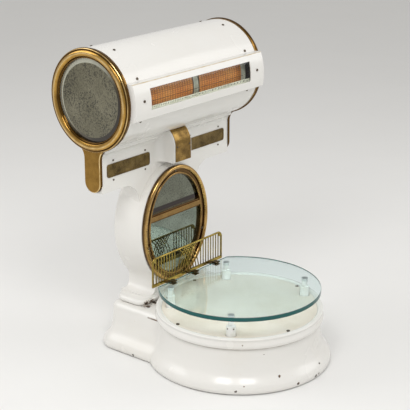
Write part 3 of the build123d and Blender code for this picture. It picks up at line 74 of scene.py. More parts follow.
class SheetNodes:
    """Node tree of one material, with short methods for the nodes that the finishes share."""

    def __init__(self, name: str) -> None:
        """Makes an empty material with a principled shader wired to its output.

        Args:
            name: The material's name.
        """
        self.material = bpy.data.materials.new(name)
        self.material.use_nodes = True
        self.tree = self.material.node_tree
        self.tree.nodes.clear()
        self.output = self.tree.nodes.new("ShaderNodeOutputMaterial")
        self.shader = self.tree.nodes.new("ShaderNodeBsdfPrincipled")
        self.link(self.shader.outputs["BSDF"], self.output.inputs["Surface"])
        self._place: Optional[Socket] = None

    def link(self, source: Socket, target: Socket) -> None:
        """Wires one socket to another."""
        self.tree.links.new(source, target)

    def put(self, socket: Socket, value: object) -> None:
        """Wires or sets a socket, whichever the value calls for.

        Args:
            socket: The input to fill.
            value: Another node's output, a number or a colour.
        """
        if isinstance(value, Socket):
            self.link(value, socket)
        elif isinstance(value, tuple) and len(value) == 3 and socket.type == "RGBA":
            socket.default_value = (*value, 1.0)
        else:
            socket.default_value = value

    def shade(self, **values: object) -> None:
        """Fills the main shader's inputs; an underscore in a name stands for a space."""
        for key, value in values.items():
            self.put(self.shader.inputs[key.replace("_", " ")], value)

    def place(self) -> Socket:
        """Object coordinates, in metres in the shared frame.

        Returns:
            The coordinates' vector.
        """
        if self._place is None:
            self._place = self.tree.nodes.new("ShaderNodeTexCoord").outputs["Object"]
        return self._place

    def axis(self, name: str, vector: Optional[Socket] = None) -> Socket:
        """One coordinate of a vector or of the place.

        Args:
            name: X, Y or Z.
            vector: The vector, or None for the place.

        Returns:
            The coordinate.
        """
        split = self.tree.nodes.new("ShaderNodeSeparateXYZ")
        self.link(vector if vector is not None else self.place(), split.inputs[0])
        return split.outputs[name]

    def normal_axis(self, name: str) -> Socket:
        """One coordinate of the surface's own direction."""
        geometry = self.tree.nodes.new("ShaderNodeNewGeometry")
        return self.axis(name, geometry.outputs["Normal"])

    def outward(self) -> Socket:
        """How far the surface faces away from the barrel's middle along X, from -1 to 1."""
        return self.times(self.normal_axis("X"), self.math("SIGN", self.axis("X")))

    def noise(self, scale: float, detail: float = 4.0, rough: float = 0.55,
              vector: Optional[Socket] = None) -> Socket:
        """Fractal noise between 0 and 1.

        Args:
            scale: Blobs per metre.
            detail: Number of finer layers.
            rough: Strength of the finer layers.
            vector: Coordinates to use in place of the object's own.

        Returns:
            The noise's value.
        """
        node = self.tree.nodes.new("ShaderNodeTexNoise")
        node.inputs["Scale"].default_value = scale
        node.inputs["Detail"].default_value = detail
        node.inputs["Roughness"].default_value = rough
        self.link(vector if vector is not None else self.place(), node.inputs["Vector"])
        return node.outputs["Fac"]

    def cells(self, scale: float) -> Socket:
        """Distance of the place to the nearest of many scattered points.

        Args:
            scale: Points per metre.

        Returns:
            The distance, in shares of the points' spacing.
        """
        node = self.tree.nodes.new("ShaderNodeTexVoronoi")
        node.inputs["Scale"].default_value = scale
        self.link(self.place(), node.inputs["Vector"])
        return node.outputs["Distance"]

    def ramp(self, value: Socket, stops: Stops) -> Socket:
        """Colour read from a value along a ramp.

        Args:
            value: The value to look up.
            stops: Pairs of position and colour, in order.

        Returns:
            The colour.
        """
        node = self.tree.nodes.new("ShaderNodeValToRGB")
        points = node.color_ramp.elements
        while len(points) < len(stops):
            points.new(0.5)
        for point, (position, colour) in zip(points, stops):
            point.position = position
            point.color = (*colour, 1.0)
        self.link(value, node.inputs["Fac"])
        return node.outputs["Color"]

    def level(self, value: Socket, low: float, high: float,
              start: float = 0.0, end: float = 1.0) -> Socket:
        """Value stretched from low and high to start and end, and held at them beyond.

        Args:
            value: The value to stretch.
            low: The value that becomes start.
            high: The value that becomes end.
            start: Result at low and beyond it.
            end: Result at high and beyond it.

        Returns:
            The stretched value.
        """
        node = self.tree.nodes.new("ShaderNodeMapRange")
        node.inputs["From Min"].default_value = low
        node.inputs["From Max"].default_value = high
        node.inputs["To Min"].default_value = start
        node.inputs["To Max"].default_value = end
        self.link(value, node.inputs["Value"])
        return node.outputs["Result"]

    def math(self, operation: str, first: object, second: object = 0.0) -> Socket:
        """Result of one arithmetic operation.

        Args:
            operation: The operation's name in Blender.
            first: Its first number or socket.
            second: Its second number or socket, where it takes one.

        Returns:
            The result.
        """
        node = self.tree.nodes.new("ShaderNodeMath")
        node.operation = operation
        for socket, value in zip(node.inputs, (first, second)):
            self.put(socket, value)
        return node.outputs[0]

    def plus(self, first: object, second: object) -> Socket:
        """Sum of two numbers or sockets."""
        return self.math("ADD", first, second)

    def minus(self, first: object, second: object) -> Socket:
        """First number or socket less the second."""
        return self.math("SUBTRACT", first, second)

    def times(self, first: object, second: object) -> Socket:
        """Product of two numbers or sockets."""
        return self.math("MULTIPLY", first, second)

    def mix(self, factor: object, first: object, second: object) -> Socket:
        """Blend of two colours.

        Args:
            factor: Share of the second colour.
            first: The colour at factor 0.
            second: The colour at factor 1.

        Returns:
            The blended colour.
        """
        node = self.tree.nodes.new("ShaderNodeMix")
        node.data_type = "RGBA"
        for index, value in zip(MIX_COLOUR_INPUTS, (factor, first, second)):
            self.put(node.inputs[index], value)
        return node.outputs[MIX_COLOUR_OUTPUT]

    def band(self, value: Socket, low: float, high: float, edge: float) -> Socket:
        """Mask of the values inside a band.

        Args:
            value: The value to test.
            low: Lowest value inside the band.
            high: Highest value inside the band.
            edge: Width over which the mask fades on either side.

        Returns:
            The mask.
        """
        rise = self.level(value, low - edge, low)
        fall = self.level(value, high, high + edge, 1.0, 0.0)
        return self.times(rise, fall)

    def stripes(self, value: Socket, pitch: float, share: float) -> Socket:
        """1 on stripes that repeat at the pitch and take the given share of it."""
        step = self.math("FRACT", self.math("DIVIDE", value, pitch))
        return self.math("LESS_THAN", step, share)

    def distance(self, centre: Point) -> Socket:
        """Distance of the place from a point, in metres.

        Args:
            centre: The point.

        Returns:
            The distance.
        """
        node = self.tree.nodes.new("ShaderNodeVectorMath")
        node.operation = "DISTANCE"
        self.link(self.place(), node.inputs[0])
        node.inputs[1].default_value = centre
        return node.outputs["Value"]

    def off_barrel(self) -> tuple[Socket, Socket]:
        """How far the place lies behind the barrel's own line and above it, in metres."""
        return self.minus(self.axis("Y"), COLUMN_Y), self.minus(self.axis("Z"), BARREL_Z)

    def barrel_radius(self) -> Socket:
        """Distance of the place from the barrel's own line."""
        y, z = self.off_barrel()
        return self.math("SQRT", self.plus(self.times(y, y), self.times(z, z)))

    def barrel_angle(self) -> Socket:
        """Angle of the place round the barrel's own line, in radians."""
        y, z = self.off_barrel()
        return self.math("ARCTAN2", z, y)

    def stronger(self, first: Optional[Socket], second: Socket) -> Socket:
        """Larger of two masks, or the second where there is no first."""
        return second if first is None else self.math("MAXIMUM", first, second)

    def let_lamps_through(self, colour: object) -> None:
        """Lets light from lamps pass straight through, tinted.

        Args:
            colour: What the surface lets through, as a colour or a socket.
        """
        path = self.tree.nodes.new("ShaderNodeLightPath")
        clear = self.tree.nodes.new("ShaderNodeBsdfTransparent")
        choice = self.tree.nodes.new("ShaderNodeMixShader")
        self.put(clear.inputs["Color"], colour)
        self.link(path.outputs["Is Shadow Ray"], choice.inputs[0])
        self.link(self.shader.outputs["BSDF"], choice.inputs[1])
        self.link(clear.outputs["BSDF"], choice.inputs[2])
        self.link(choice.outputs[0], self.output.inputs["Surface"])

    def bump(self, height: Socket, strength: float, distance: float,
             below: Optional[Socket] = None) -> Socket:
        """Surface direction bent by a height.

        Args:
            height: The height, as a socket.
            strength: Share of the bend that shows.
            distance: Depth that a height of 1 stands for, in metres.
            below: Another bend that this one lies over.

        Returns:
            The bent direction.
        """
        node = self.tree.nodes.new("ShaderNodeBump")
        node.inputs["Strength"].default_value = strength
        node.inputs["Distance"].default_value = distance
        self.link(height, node.inputs["Height"])
        if below is not None:
            self.link(below, node.inputs["Normal"])
        return node.outputs["Normal"]


class Finish(Protocol):
    """Anything that can build a named material."""

    name: str

    def material(self) -> bpy.types.Material:
        """Builds the finish's material."""


@dataclass(frozen=True)
class EnamelFinish:
    """White enamel on iron or sheet: soft gloss, a little yellowed, chipped and rusty where told."""

    name: str = "enamel"
    colour: Colour = (0.765, 0.75, 0.715)
    aged: Colour = (0.62, 0.54, 0.38)
    age: float = 0.16
    blotch_scale: float = 5.0
    fleck_scale: float = 140.0
    fleck_strength: float = 0.4
    roughness: float = 0.24
    gloss_scale: float = 12.0
    coat: float = 0.3
    coat_roughness: float = 0.09
    ripple: float = 0.12
    ripple_scale: float = 24.0
    ripple_depth: float = 0.0012
    chips: Spots = ()
    chip_edge_scale: float = 330.0
    chip_raggedness: float = 2.4
    chip_depth: float = 0.0006
    flaking: Spots = ()
    crack_scale: float = 46.0
    stain: Colour = (0.50, 0.33, 0.16)
    stain_scale: float = 70.0
    rust: Stops = ((0.35, (0.022, 0.017, 0.014)), (0.62, (0.065, 0.032, 0.015)), (0.8, (0.26, 0.12, 0.045)))
    rust_scale: float = 120.0
    seams: tuple[tuple[str, float, float], ...] = ()
    seam_colour: Colour = (0.12, 0.07, 0.035)
    seam_until_y: float = 0.086
    seam_end: float = 0.001
    seam_scale: float = 40.0

    def material(self) -> bpy.types.Material:
        """Builds the enamel's node tree.

        Returns:
            The finished material.
        """
        sheet = SheetNodes(self.name)
        blotches = sheet.level(sheet.noise(self.blotch_scale, 5.0, 0.6), 0.48, 0.78, 0.0, self.age)
        flecks = sheet.level(sheet.noise(self.fleck_scale, 3.0, 0.6), 0.70, 0.78, 0.0, self.fleck_strength)
        colour = sheet.mix(flecks, sheet.mix(blotches, self.colour, self.aged), self.aged)
        colour = self._seamed(sheet, colour)
        halo = self._halo(sheet)
        if halo is not None:
            colour = sheet.mix(halo, colour, self.stain)
        rough = sheet.level(sheet.noise(self.gloss_scale, 2.0), 0.3, 0.8,
                            self.roughness * 0.85, self.roughness * 1.25)
        bend = sheet.bump(sheet.noise(self.ripple_scale, 1.0, 0.4), self.ripple, self.ripple_depth)
        bare = self._bare(sheet)
        if bare is not None:
            colour = sheet.mix(bare, colour, sheet.ramp(sheet.noise(self.rust_scale, 4.0), self.rust))
            rough = sheet.plus(rough, sheet.times(bare, 0.5))
            bend = sheet.bump(sheet.minus(1.0, bare), 0.5, self.chip_depth, bend)
        sheet.shade(Base_Color=colour, Coat_Weight=self.coat, Coat_Roughness=self.coat_roughness,
                    Roughness=rough, Normal=bend)
        return sheet.material

    def _seamed(self, sheet: SheetNodes, colour: Socket) -> Socket:
        """Colour with the dirty lines of the seams laid over it.

        Args:
            sheet: The node tree that is being built.
            colour: The colour without them.

        Returns:
            The colour with them.
        """
        for axis, place, half in self.seams:
            line = sheet.band(sheet.axis(axis), place - half, place + half, half)
            front = sheet.level(sheet.axis("Y"), self.seam_until_y - self.seam_end,
                                self.seam_until_y + self.seam_end, 1.0, 0.0)
            broken = sheet.level(sheet.noise(self.seam_scale, 3.0), 0.3, 0.7, 0.35, 1.0)
            colour = sheet.mix(sheet.times(sheet.times(line, front), broken), colour, self.seam_colour)
        return colour

    def _bare(self, sheet: SheetNodes) -> Optional[Socket]:
        """Mask of bare metal: whole small chips and ragged flaking.

        Args:
            sheet: The node tree that is being built.

        Returns:
            The mask, or None where the piece has no bare metal.
        """
        mask: Optional[Socket] = None
        ragged = sheet.minus(sheet.noise(self.chip_edge_scale, 4.0, 0.65), 0.5)
        for centre, radius in self.chips:
            reach = sheet.plus(sheet.distance(centre), sheet.times(ragged, radius * self.chip_raggedness))
            mask = sheet.stronger(mask, sheet.level(reach, radius * 0.72, radius, 1.0, 0.0))
        cracks = sheet.math("ABSOLUTE", sheet.minus(sheet.noise(self.crack_scale, 6.0, 0.62), 0.5))
        for centre, radius in self.flaking:
            near = sheet.level(sheet.distance(centre), radius * 0.1, radius, 0.075, -0.004)
            mask = sheet.stronger(mask, sheet.level(sheet.minus(near, cracks), 0.0, 0.004))
        return mask

    def _halo(self, sheet: SheetNodes) -> Optional[Socket]:
        """Mask of the brown stain round flaking.

        Args:
            sheet: The node tree that is being built.

        Returns:
            The mask, or None where the piece has no flaking.
        """
        mask: Optional[Socket] = None
        for centre, radius in self.flaking:
            near = sheet.level(sheet.distance(centre), 0.0, radius * 1.15, 0.62, 0.0)
            cloud = sheet.level(sheet.noise(self.stain_scale, 4.0), 0.38, 0.66)
            mask = sheet.stronger(mask, sheet.times(near, cloud))
        return mask


@dataclass(frozen=True)
class Hollow:
    """Depth at which brass is darkened by grime and painted shade: full at one place along an axis, gone at
    another, with painted highlights beyond.
    """

    axis: str
    dirty: float
    clean: float
    # Ring radius beyond which the tongue gets painted highlights and painted shade, and the share of painted
    # shade there.
    rubbed_beyond: float = 0.0
    dull_beyond: float = 0.45


@dataclass(frozen=True)
class BrassFinish:
    """Old shiny brass, golden brown, with dark tarnish in clouds, grime and painted shade in hollows, painted
    highlights on crests and edges, and fine rubbed scratches.
    """

    name: str = "brass"
    bright: Colour = (0.50, 0.29, 0.085)
    dark: Colour = (0.12, 0.06, 0.018)
    tarnish: float = 0.55
    # Colour of the painted highlights on crests and edges.
    polished: Colour = (0.92, 0.70, 0.36)
    roughness: float = 0.17
    cloud_scale: float = 38.0
    cloud_share: float = 0.72
    fine_scale: float = 420.0
    fine_share: float = 0.28
    spot: Colour = (0.05, 0.035, 0.02)
    spot_scale: float = 260.0
    spot_strength: float = 0.7
    dent_scale: float = 60.0
    dent_depth: float = 0.0008
    scratch_scale: float = 1600.0
    scratch_depth: float = 0.0002
    hammered: float = 0.0
    hammer_scale: float = 430.0
    hollow: Optional[Hollow] = None
    dirt_darkness: float = 0.55
    rub_scale: float = 55.0

    def material(self) -> bpy.types.Material:
        """Builds the brass's node tree.

        Returns:
            The finished material.
        """
        sheet = SheetNodes(self.name)
        cloud = sheet.noise(self.cloud_scale, 6.0, 0.62)
        fine = sheet.noise(self.fine_scale, 3.0, 0.6)
        blend = sheet.plus(sheet.times(cloud, self.cloud_share), sheet.times(fine, self.fine_share))
        tarnish = sheet.level(blend, 0.40, 0.66, self.tarnish * 0.1, self.tarnish)
        colour = sheet.mix(tarnish, self.bright, self.dark)
        # Hollows darkened as grime and painted shade, crests and edges lightened with painted highlights.
        if self.hollow is not None:
            grime_and_shade = tuple(channel * self.dirt_darkness for channel in self.dark)
            colour = sheet.mix(self._dirt(sheet, fine), colour, grime_and_shade)
            colour = sheet.mix(self._rub(sheet), colour, self.polished)
        spots = sheet.times(sheet.level(sheet.cells(self.spot_scale), 0.0, 0.16, 1.0, 0.0),
                            sheet.level(sheet.noise(50.0), 0.55, 0.65))
        colour = sheet.mix(sheet.times(spots, self.spot_strength), colour, self.spot)
        bend = sheet.bump(sheet.noise(self.dent_scale, 3.0), 0.10, self.dent_depth)
        bend = sheet.bump(sheet.noise(self.scratch_scale, 2.0), 0.05, self.scratch_depth, bend)
        if self.hammered > 0:
            bend = sheet.bump(sheet.cells(self.hammer_scale), self.hammered, self.dent_depth, bend)
        sheet.shade(Base_Color=colour, Metallic=1.0, Normal=bend,
                    Roughness=sheet.level(blend, 0.35, 0.75, self.roughness * 0.7, self.roughness * 1.8))
        return sheet.material

    def _rub(self, sheet: SheetNodes) -> Socket:
        """Mask of the painted highlights on crests and edges.

        Args:
            sheet: The node tree that is being built.

        Returns:
            The mask.
        """
        step = (self.hollow.clean - self.hollow.dirty) * 0.16
        depth = sheet.math("ABSOLUTE", sheet.axis(self.hollow.axis))
        # Painted highlight on the crests, just past the bright depth.
        highlight_mask = sheet.level(depth, self.hollow.clean + step, self.hollow.clean + step * 2.2, 0.0, 0.75)
        if self.hollow.rubbed_beyond > 0:
            edge = self.hollow.rubbed_beyond
            radius = sheet.barrel_radius()
            facing = sheet.outward()
            # Painted highlight along the ring's outer edge where it faces outward, and on the rounded edge of
            # the tongue beyond it.
            outer = sheet.times(sheet.band(radius, edge - 0.0006, edge + 0.0002, 0.0004),
                                sheet.level(facing, 0.2, 0.6, 0.0, 0.7))
            beyond = sheet.level(radius, edge + 0.003, edge + 0.004)
            corner = sheet.times(beyond, sheet.band(facing, 0.62, 0.93, 0.05))
            highlight_mask = sheet.stronger(sheet.stronger(highlight_mask, outer), sheet.times(corner, 0.8))
        return sheet.times(highlight_mask, sheet.level(sheet.noise(self.rub_scale, 4.0), 0.30, 0.58, 0.25, 1.0))

    def _dirt(self, sheet: SheetNodes, fine: Socket) -> Socket:
        """Mask of the grime and painted shade in the hollows, and of painted shade on the ring's tongue.

        Args:
            sheet: The node tree that is being built.
            fine: Fine noise that breaks the mask's edge.

        Returns:
            The mask.
        """
        depth = sheet.math("ABSOLUTE", sheet.axis(self.hollow.axis))
        shift = abs(self.hollow.clean - self.hollow.dirty) * 0.5
        depth = sheet.plus(depth, sheet.times(sheet.minus(fine, 0.5), shift))
        # Grime and painted shade in the hollows, fading out towards the bright depth.
        grime_and_shade = sheet.level(depth, self.hollow.dirty, self.hollow.clean, 0.9, 0.0)
        if self.hollow.rubbed_beyond > 0:
            edge = self.hollow.rubbed_beyond
            beyond = sheet.level(sheet.barrel_radius(), edge - 0.0008, edge)
            grime_and_shade = sheet.times(grime_and_shade, sheet.minus(1.0, beyond))
            # Painted shade on the ring's tongue, darkest where it faces inward.
            facing_shade = sheet.level(sheet.outward(), 0.25, 0.6, 0.95, self.hollow.dull_beyond)
            grime_and_shade = sheet.stronger(grime_and_shade, sheet.times(beyond, facing_shade))
        return grime_and_shade


@dataclass(frozen=True)
class AgedMirrorFinish:
    """Old silvered glass: a dull mirror with cloudy silvering and black specks, and a painted reflection on
    its bevelled rim where told.
    """

    name: str = "aged_mirror"
    silver: Colour = (0.21, 0.195, 0.13)
    cloud: Colour = (0.125, 0.115, 0.07)
    speck: Colour = (0.018, 0.016, 0.012)
    fleck: Colour = (0.34, 0.32, 0.22)
    speck_scale: float = 310.0
    speck_low: float = 0.51
    roughness: float = 0.3
    haze: float = 0.35
    cloud_scale: float = 13.0
    patch_scale: float = 22.0
    coat: float = 0.6
    coat_roughness: float = 0.04
    bevel_from: float = 0.0
    bevel_edge: float = 0.0005
    bevel_slope: float = 8.0
    # Colours of the painted reflection on the bevelled rim, from dark below and in front to pale above and
    # behind.
    bevel: Stops = ((0.12, (0.030, 0.024, 0.018)), (0.36, (0.09, 0.075, 0.05)), (0.50, (0.26, 0.25, 0.19)),
                    (0.80, (0.56, 0.56, 0.46)))
    dark_strip: Optional[tuple[float, float]] = None
    strip_edge: float = 0.001
    strip_colour: Colour = (0.016, 0.008, 0.005)

    def material(self) -> bpy.types.Material:
        """Builds the mirror's node tree.

        Returns:
            The finished material.
        """
        sheet = SheetNodes(self.name)
        clouds = sheet.level(sheet.noise(self.cloud_scale, 4.0, 0.6), 0.35, 0.68)
        grain = sheet.noise(self.speck_scale, 3.0, 0.68)
        pale = sheet.level(grain, 0.40, 0.33, 0.0, 0.55)
        specks = sheet.times(sheet.level(grain, self.speck_low, self.speck_low + 0.05, 0.0, 0.85),
                             sheet.level(sheet.noise(self.patch_scale, 3.0), 0.35, 0.55, 0.45, 1.0))
        colour = sheet.mix(pale, sheet.mix(clouds, self.silver, self.cloud), self.fleck)
        colour = sheet.mix(specks, colour, self.speck)
        rough = sheet.level(grain, 0.3, 0.7, self.roughness * 0.7, self.roughness * 1.5)
        # Painted reflection on the bevelled rim of the end mirror.
        if self.bevel_from > 0:
            rim = sheet.level(sheet.barrel_radius(), self.bevel_from - self.bevel_edge,
                              self.bevel_from + self.bevel_edge)
            colour = sheet.mix(rim, colour, self._bevel(sheet))
            rough = sheet.times(rough, sheet.level(rim, 0.0, 1.0, 1.0, 0.25))
        if self.dark_strip is not None:
            strip = sheet.band(sheet.axis("Z"), *self.dark_strip, self.strip_edge)
            colour = sheet.mix(strip, colour, self.strip_colour)
        sheet.shade(Base_Color=colour, Metallic=1.0 - self.haze, Coat_Weight=self.coat,
                    Coat_Roughness=self.coat_roughness, Roughness=rough)
        sheet.shade(Normal=sheet.bump(sheet.noise(9.0, 2.0), 0.04, 0.002))
        return sheet.material

    def _bevel(self, sheet: SheetNodes) -> Socket:
        """Colour of the bevelled rim: a painted reflection, pale above and behind, dark below and in front.

        Args:
            sheet: The node tree that is being built.

        Returns:
            The colour.
        """
        y, z = sheet.off_barrel()
        side = sheet.plus(sheet.times(z, self.bevel_slope), sheet.times(y, self.bevel_slope))
        side = sheet.plus(side, sheet.times(sheet.minus(sheet.noise(30.0), 0.5), 0.6))
        return sheet.ramp(sheet.level(side, -1.0, 1.0), self.bevel)


@dataclass(frozen=True)
class ClearGlassFinish:
    """Clear or greenish glass that lets lamps through, with a coloured ground edge where told."""

    name: str
    face: Colour
    shadow: Colour
    edge: Optional[Colour] = None
    index: float = 1.45
    dust: float = 0.03

    def material(self) -> bpy.types.Material:
        """Builds the glass's node tree.

        Returns:
            The finished material.
        """
        sheet = SheetNodes(self.name)
        colour: object = self.face
        rough: object = sheet.level(sheet.noise(40.0, 5.0, 0.7), 0.45, 0.8, 0.01, self.dust)
        clear: object = 1.0
        shadow: object = self.shadow
        if self.edge is not None:
            side = sheet.level(sheet.math("ABSOLUTE", sheet.normal_axis("Z")), 0.55, 0.95, 1.0, 0.0)
            colour = sheet.mix(side, self.face, self.edge)
            rough = sheet.plus(rough, sheet.times(side, 0.08))
            clear = sheet.level(side, 0.0, 1.0, 1.0, 0.12)
            shadow = sheet.mix(side, self.shadow, self.edge)
        sheet.shade(Base_Color=colour, Roughness=rough, IOR=self.index, Transmission_Weight=clear)
        sheet.shade(Normal=sheet.bump(sheet.noise(5.0, 1.0), 0.02, 0.001))
        sheet.let_lamps_through(shadow)
        return sheet.material


@dataclass(frozen=True)
class ChartPaperFinish:
    """Browned chart paper round the drum, printed with fine columns and rows of small marks."""

    name: str = "chart_paper"
    ground: Colour = (0.62, 0.21, 0.032)
    faded: Colour = (0.80, 0.38, 0.085)
    stained: Colour = (0.34, 0.085, 0.016)
    ink: Colour = (0.10, 0.032, 0.012)
    column_pitch: float = 0.0086
    column_share: float = 0.26
    column_ink: float = 0.62
    row_pitch: float = 0.0046
    row_share: float = 0.55
    stroke_scale: float = 900.0
    stroke_ink: float = 0.7
    rows_per_rule: int = 5
    rule_share: float = 0.07
    rule_shift: float = 0.0096
    rule_ink: float = 0.5
    roughness: float = 0.62

    def material(self) -> bpy.types.Material:
        """Builds the chart's node tree.

        Returns:
            The finished material.
        """
        sheet = SheetNodes(self.name)
        around = sheet.times(sheet.barrel_angle(), DRUM_RADIUS)
        along = sheet.axis("X")
        paper = sheet.mix(sheet.level(sheet.noise(17.0, 5.0, 0.65), 0.35, 0.7), self.ground, self.faded)
        paper = sheet.mix(sheet.level(sheet.noise(30.0, 4.0, 0.6), 0.55, 0.75, 0.0, 0.6), paper, self.stained)
        column = sheet.stripes(along, self.column_pitch, self.column_share)
        row = sheet.stripes(around, self.row_pitch, self.row_share)
        rolled_out = sheet.tree.nodes.new("ShaderNodeCombineXYZ")
        sheet.link(along, rolled_out.inputs[0])
        sheet.link(around, rolled_out.inputs[1])
        strokes = sheet.level(sheet.noise(self.stroke_scale, 1.0, 0.5, rolled_out.outputs[0]), 0.48, 0.54)
        marks = sheet.times(sheet.times(row, sheet.minus(1.0, column)), strokes)
        ink = sheet.stronger(sheet.times(column, self.column_ink), sheet.times(marks, self.stroke_ink))
        rule = sheet.stripes(sheet.plus(around, self.rule_shift), self.row_pitch * self.rows_per_rule,
                             self.rule_share)
        ink = sheet.stronger(ink, sheet.times(rule, self.rule_ink))
        sheet.shade(Base_Color=sheet.mix(ink, paper, self.ink), Roughness=self.roughness)
        sheet.shade(Normal=sheet.bump(sheet.noise(260.0, 3.0), 0.08, 0.0004))
        return sheet.material


@dataclass(frozen=True)
class PlainFinish:
    """Simple worn finish for iron, steel, paint, pads and ink, with its own cloudiness and grain."""

    name: str
    colour: Colour
    worn: Colour
    metallic: float = 0.0
    roughness: float = 0.5
    cloud_scale: float = 40.0
    grain_scale: float = 700.0
    grain: float = 0.12
    grain_depth: float = 0.0004

    def material(self) -> bpy.types.Material:
        """Builds the finish's node tree.

        Returns:
            The finished material.
        """
        sheet = SheetNodes(self.name)
        cloud = sheet.noise(self.cloud_scale, 5.0, 0.65)
        sheet.shade(Base_Color=sheet.mix(sheet.level(cloud, 0.42, 0.72), self.colour, self.worn),
                    Metallic=self.metallic,
                    Roughness=sheet.level(cloud, 0.3, 0.8, self.roughness * 0.75,
                                          min(1.0, self.roughness * 1.3)))
        sheet.shade(Normal=sheet.bump(sheet.noise(self.grain_scale, 3.0), self.grain, self.grain_depth))
        return sheet.material


class Dresser:
    """Puts finishes on CAD nodes and on new pieces, making each material once."""

    def __init__(self, nodes: dict[str, bpy.types.Object]) -> None:
        """Keeps the nodes and an empty store of made materials.

        Args:
            nodes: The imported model's objects by name.
        """
        self.nodes = nodes
        self.made: dict[str, bpy.types.Material] = {}

    def material(self, finish: Finish) -> bpy.types.Material:
        """Material of a finish, built when it is first asked for.

        Args:
            finish: The finish.

        Returns:
            The finish's material.
        """
        if finish.name not in self.made:
            self.made[finish.name] = finish.material()
        return self.made[finish.name]

    def dress(self, *groups: tuple[Finish, tuple[str, ...]]) -> None:
        """Gives CAD nodes their finishes.

        Args:
            groups: Pairs of a finish and the names of the nodes that it goes on.
        """
        for finish, names in groups:
            for name in names:
                for slot in self.nodes[name].material_slots:
                    slot.material = self.material(finish)
                log.info("dressed %s with %s", name, finish.name)

    def finish_piece(self, piece: bpy.types.Object, finish: Finish, body: Body, slot: str) -> None:
        """Gives a new piece its material and body.

        Args:
            piece: The piece's object.
            finish: The finish to put on.
            body: The body that the piece moves with.
            slot: Not used.
        """
        piece.data.materials.clear()
        piece.data.materials.append(self.material(finish))
        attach(piece, body.value)
        log.info("made %s on %s", piece.name, body.value)


def mesh_piece(name: str, mesh: bmesh.types.BMesh, smooth: bool = True) -> bpy.types.Object:
    """Turns a bmesh into an object in the scene.

    Args:
        name: The object's name.
        mesh: The geometry, freed here.
        smooth: Whether its faces are shaded smooth.

    Returns:
        The new object.
    """
    data = bpy.data.meshes.new(name)
    mesh.normal_update()
    mesh.to_mesh(data)
    mesh.free()
    for face in data.polygons:
        face.use_smooth = smooth
    piece = bpy.data.objects.new(name, data)
    bpy.context.scene.collection.objects.link(piece)
    return piece


ENAMEL = EnamelFinish(name="enamel_barrel", ripple=0.03, age=0.10)
BASE_ENAMEL = EnamelFinish(
    name="enamel_base", ripple=0.09, seams=(("Z", 0.1010, 0.0011),),
    chips=(((0.0343, -0.2767, 0.0268), 0.0030), ((-0.0890, -0.2534, 0.0337), 0.0034),
           ((-0.0524, -0.2799, 0.0095), 0.0036), ((0.0087, -0.2859, 0.0071), 0.0050),
           ((0.0210, -0.2840, 0.0085), 0.0034), ((-0.1607, -0.2097, 0.0217), 0.0020),
           ((-0.1746, -0.1976, 0.0110), 0.0030), ((-0.1503, -0.1962, 0.1133), 0.0014),
           ((-0.1103, -0.2258, 0.0863), 0.0012), ((-0.1736, 0.1105, 0.0069), 0.0036),
           ((0.1500, -0.1900, 0.0160), 0.0030), ((0.1400, 0.2400, 0.0120), 0.0032)),
    flaking=(((-0.1162, 0.1190, 0.1100), 0.014), ((-0.0870, 0.1180, 0.1100), 0.016)))
PANEL_ENAMEL = EnamelFinish(
    name="enamel_panel", ripple=0.03, age=0.10, seams=(("Z", PANEL_TOP_Z - 0.0005, 0.0007),),
    seam_colour=(0.50, 0.38, 0.20), seam_until_y=0.0502)
COLUMN_ENAMEL = EnamelFinish(name="enamel_column", ripple=0.06,
                             flaking=(((-0.0985, 0.1190, 0.1125), 0.014), ((-0.1120, 0.1210, 0.1140), 0.010)))
# End rings: grime and painted shade in the hollows and on the tongue, painted highlights on crests and edges.
RING_BRASS = BrassFinish(
    name="ring_brass", bright=(0.66, 0.39, 0.095), dark=(0.15, 0.07, 0.014),
    tarnish=0.6, roughness=0.10, hollow=Hollow("X", 0.2386, 0.2411, 0.1162, 0.55))
# Door frame: grime and painted shade in the deep recess, painted highlights on the crest.
FRAME_BRASS = BrassFinish(
    name="frame_brass", bright=(0.66, 0.42, 0.15), dark=(0.13, 0.065, 0.022),
    tarnish=0.6, roughness=0.11, hollow=Hollow("Y", FRAME_DEEP_Y, FRAME_CREST_Y))
PLATE_BRASS = BrassFinish(
    name="plate_brass", bright=(0.24, 0.165, 0.06), dark=(0.055, 0.037, 0.015),
    tarnish=0.9, roughness=0.32, hammered=0.7)
COVER_BRASS = BrassFinish(
    name="cover_brass", bright=(0.38, 0.24, 0.072), dark=(0.085, 0.048, 0.016),
    tarnish=0.95, roughness=0.26)
FENCE_BRASS = BrassFinish(
    name="fence_brass", bright=(0.43, 0.315, 0.075), dark=(0.13, 0.09, 0.022),
    tarnish=0.7, roughness=0.22)
CLIP_BRASS = BrassFinish(
    name="clip_brass", bright=(0.13, 0.09, 0.035), dark=(0.035, 0.025, 0.012),
    tarnish=0.8, roughness=0.35)
WORKS_BRASS = BrassFinish(name="works_brass", bright=(0.55, 0.36, 0.13), dark=(0.20, 0.12, 0.04), tarnish=0.7)
END_MIRROR = AgedMirrorFinish(name="end_mirror_silvering", bevel_from=0.084)
DOOR_MIRROR = AgedMirrorFinish(
    name="door_mirror_silvering", silver=(0.245, 0.30, 0.245), cloud=(0.14, 0.17, 0.13),
    fleck=(0.34, 0.37, 0.29), speck_low=0.56, roughness=0.06, haze=0.05)
UPPER_MIRROR = AgedMirrorFinish(
    name="upper_mirror_silvering", silver=(0.20, 0.22, 0.165), cloud=(0.11, 0.115, 0.08),
    fleck=(0.26, 0.28, 0.21), speck_low=0.53, roughness=0.10, haze=0.10, dark_strip=(0.3300, 0.3405))
PLATTER = ClearGlassFinish("plate_glass", (0.835, 0.95, 0.95), (0.955, 0.965, 0.955), (0.004, 0.095, 0.088))
PANE = ClearGlassFinish("window_pane", (0.96, 0.965, 0.94), (0.97, 0.97, 0.95), None, 1.2, 0.08)
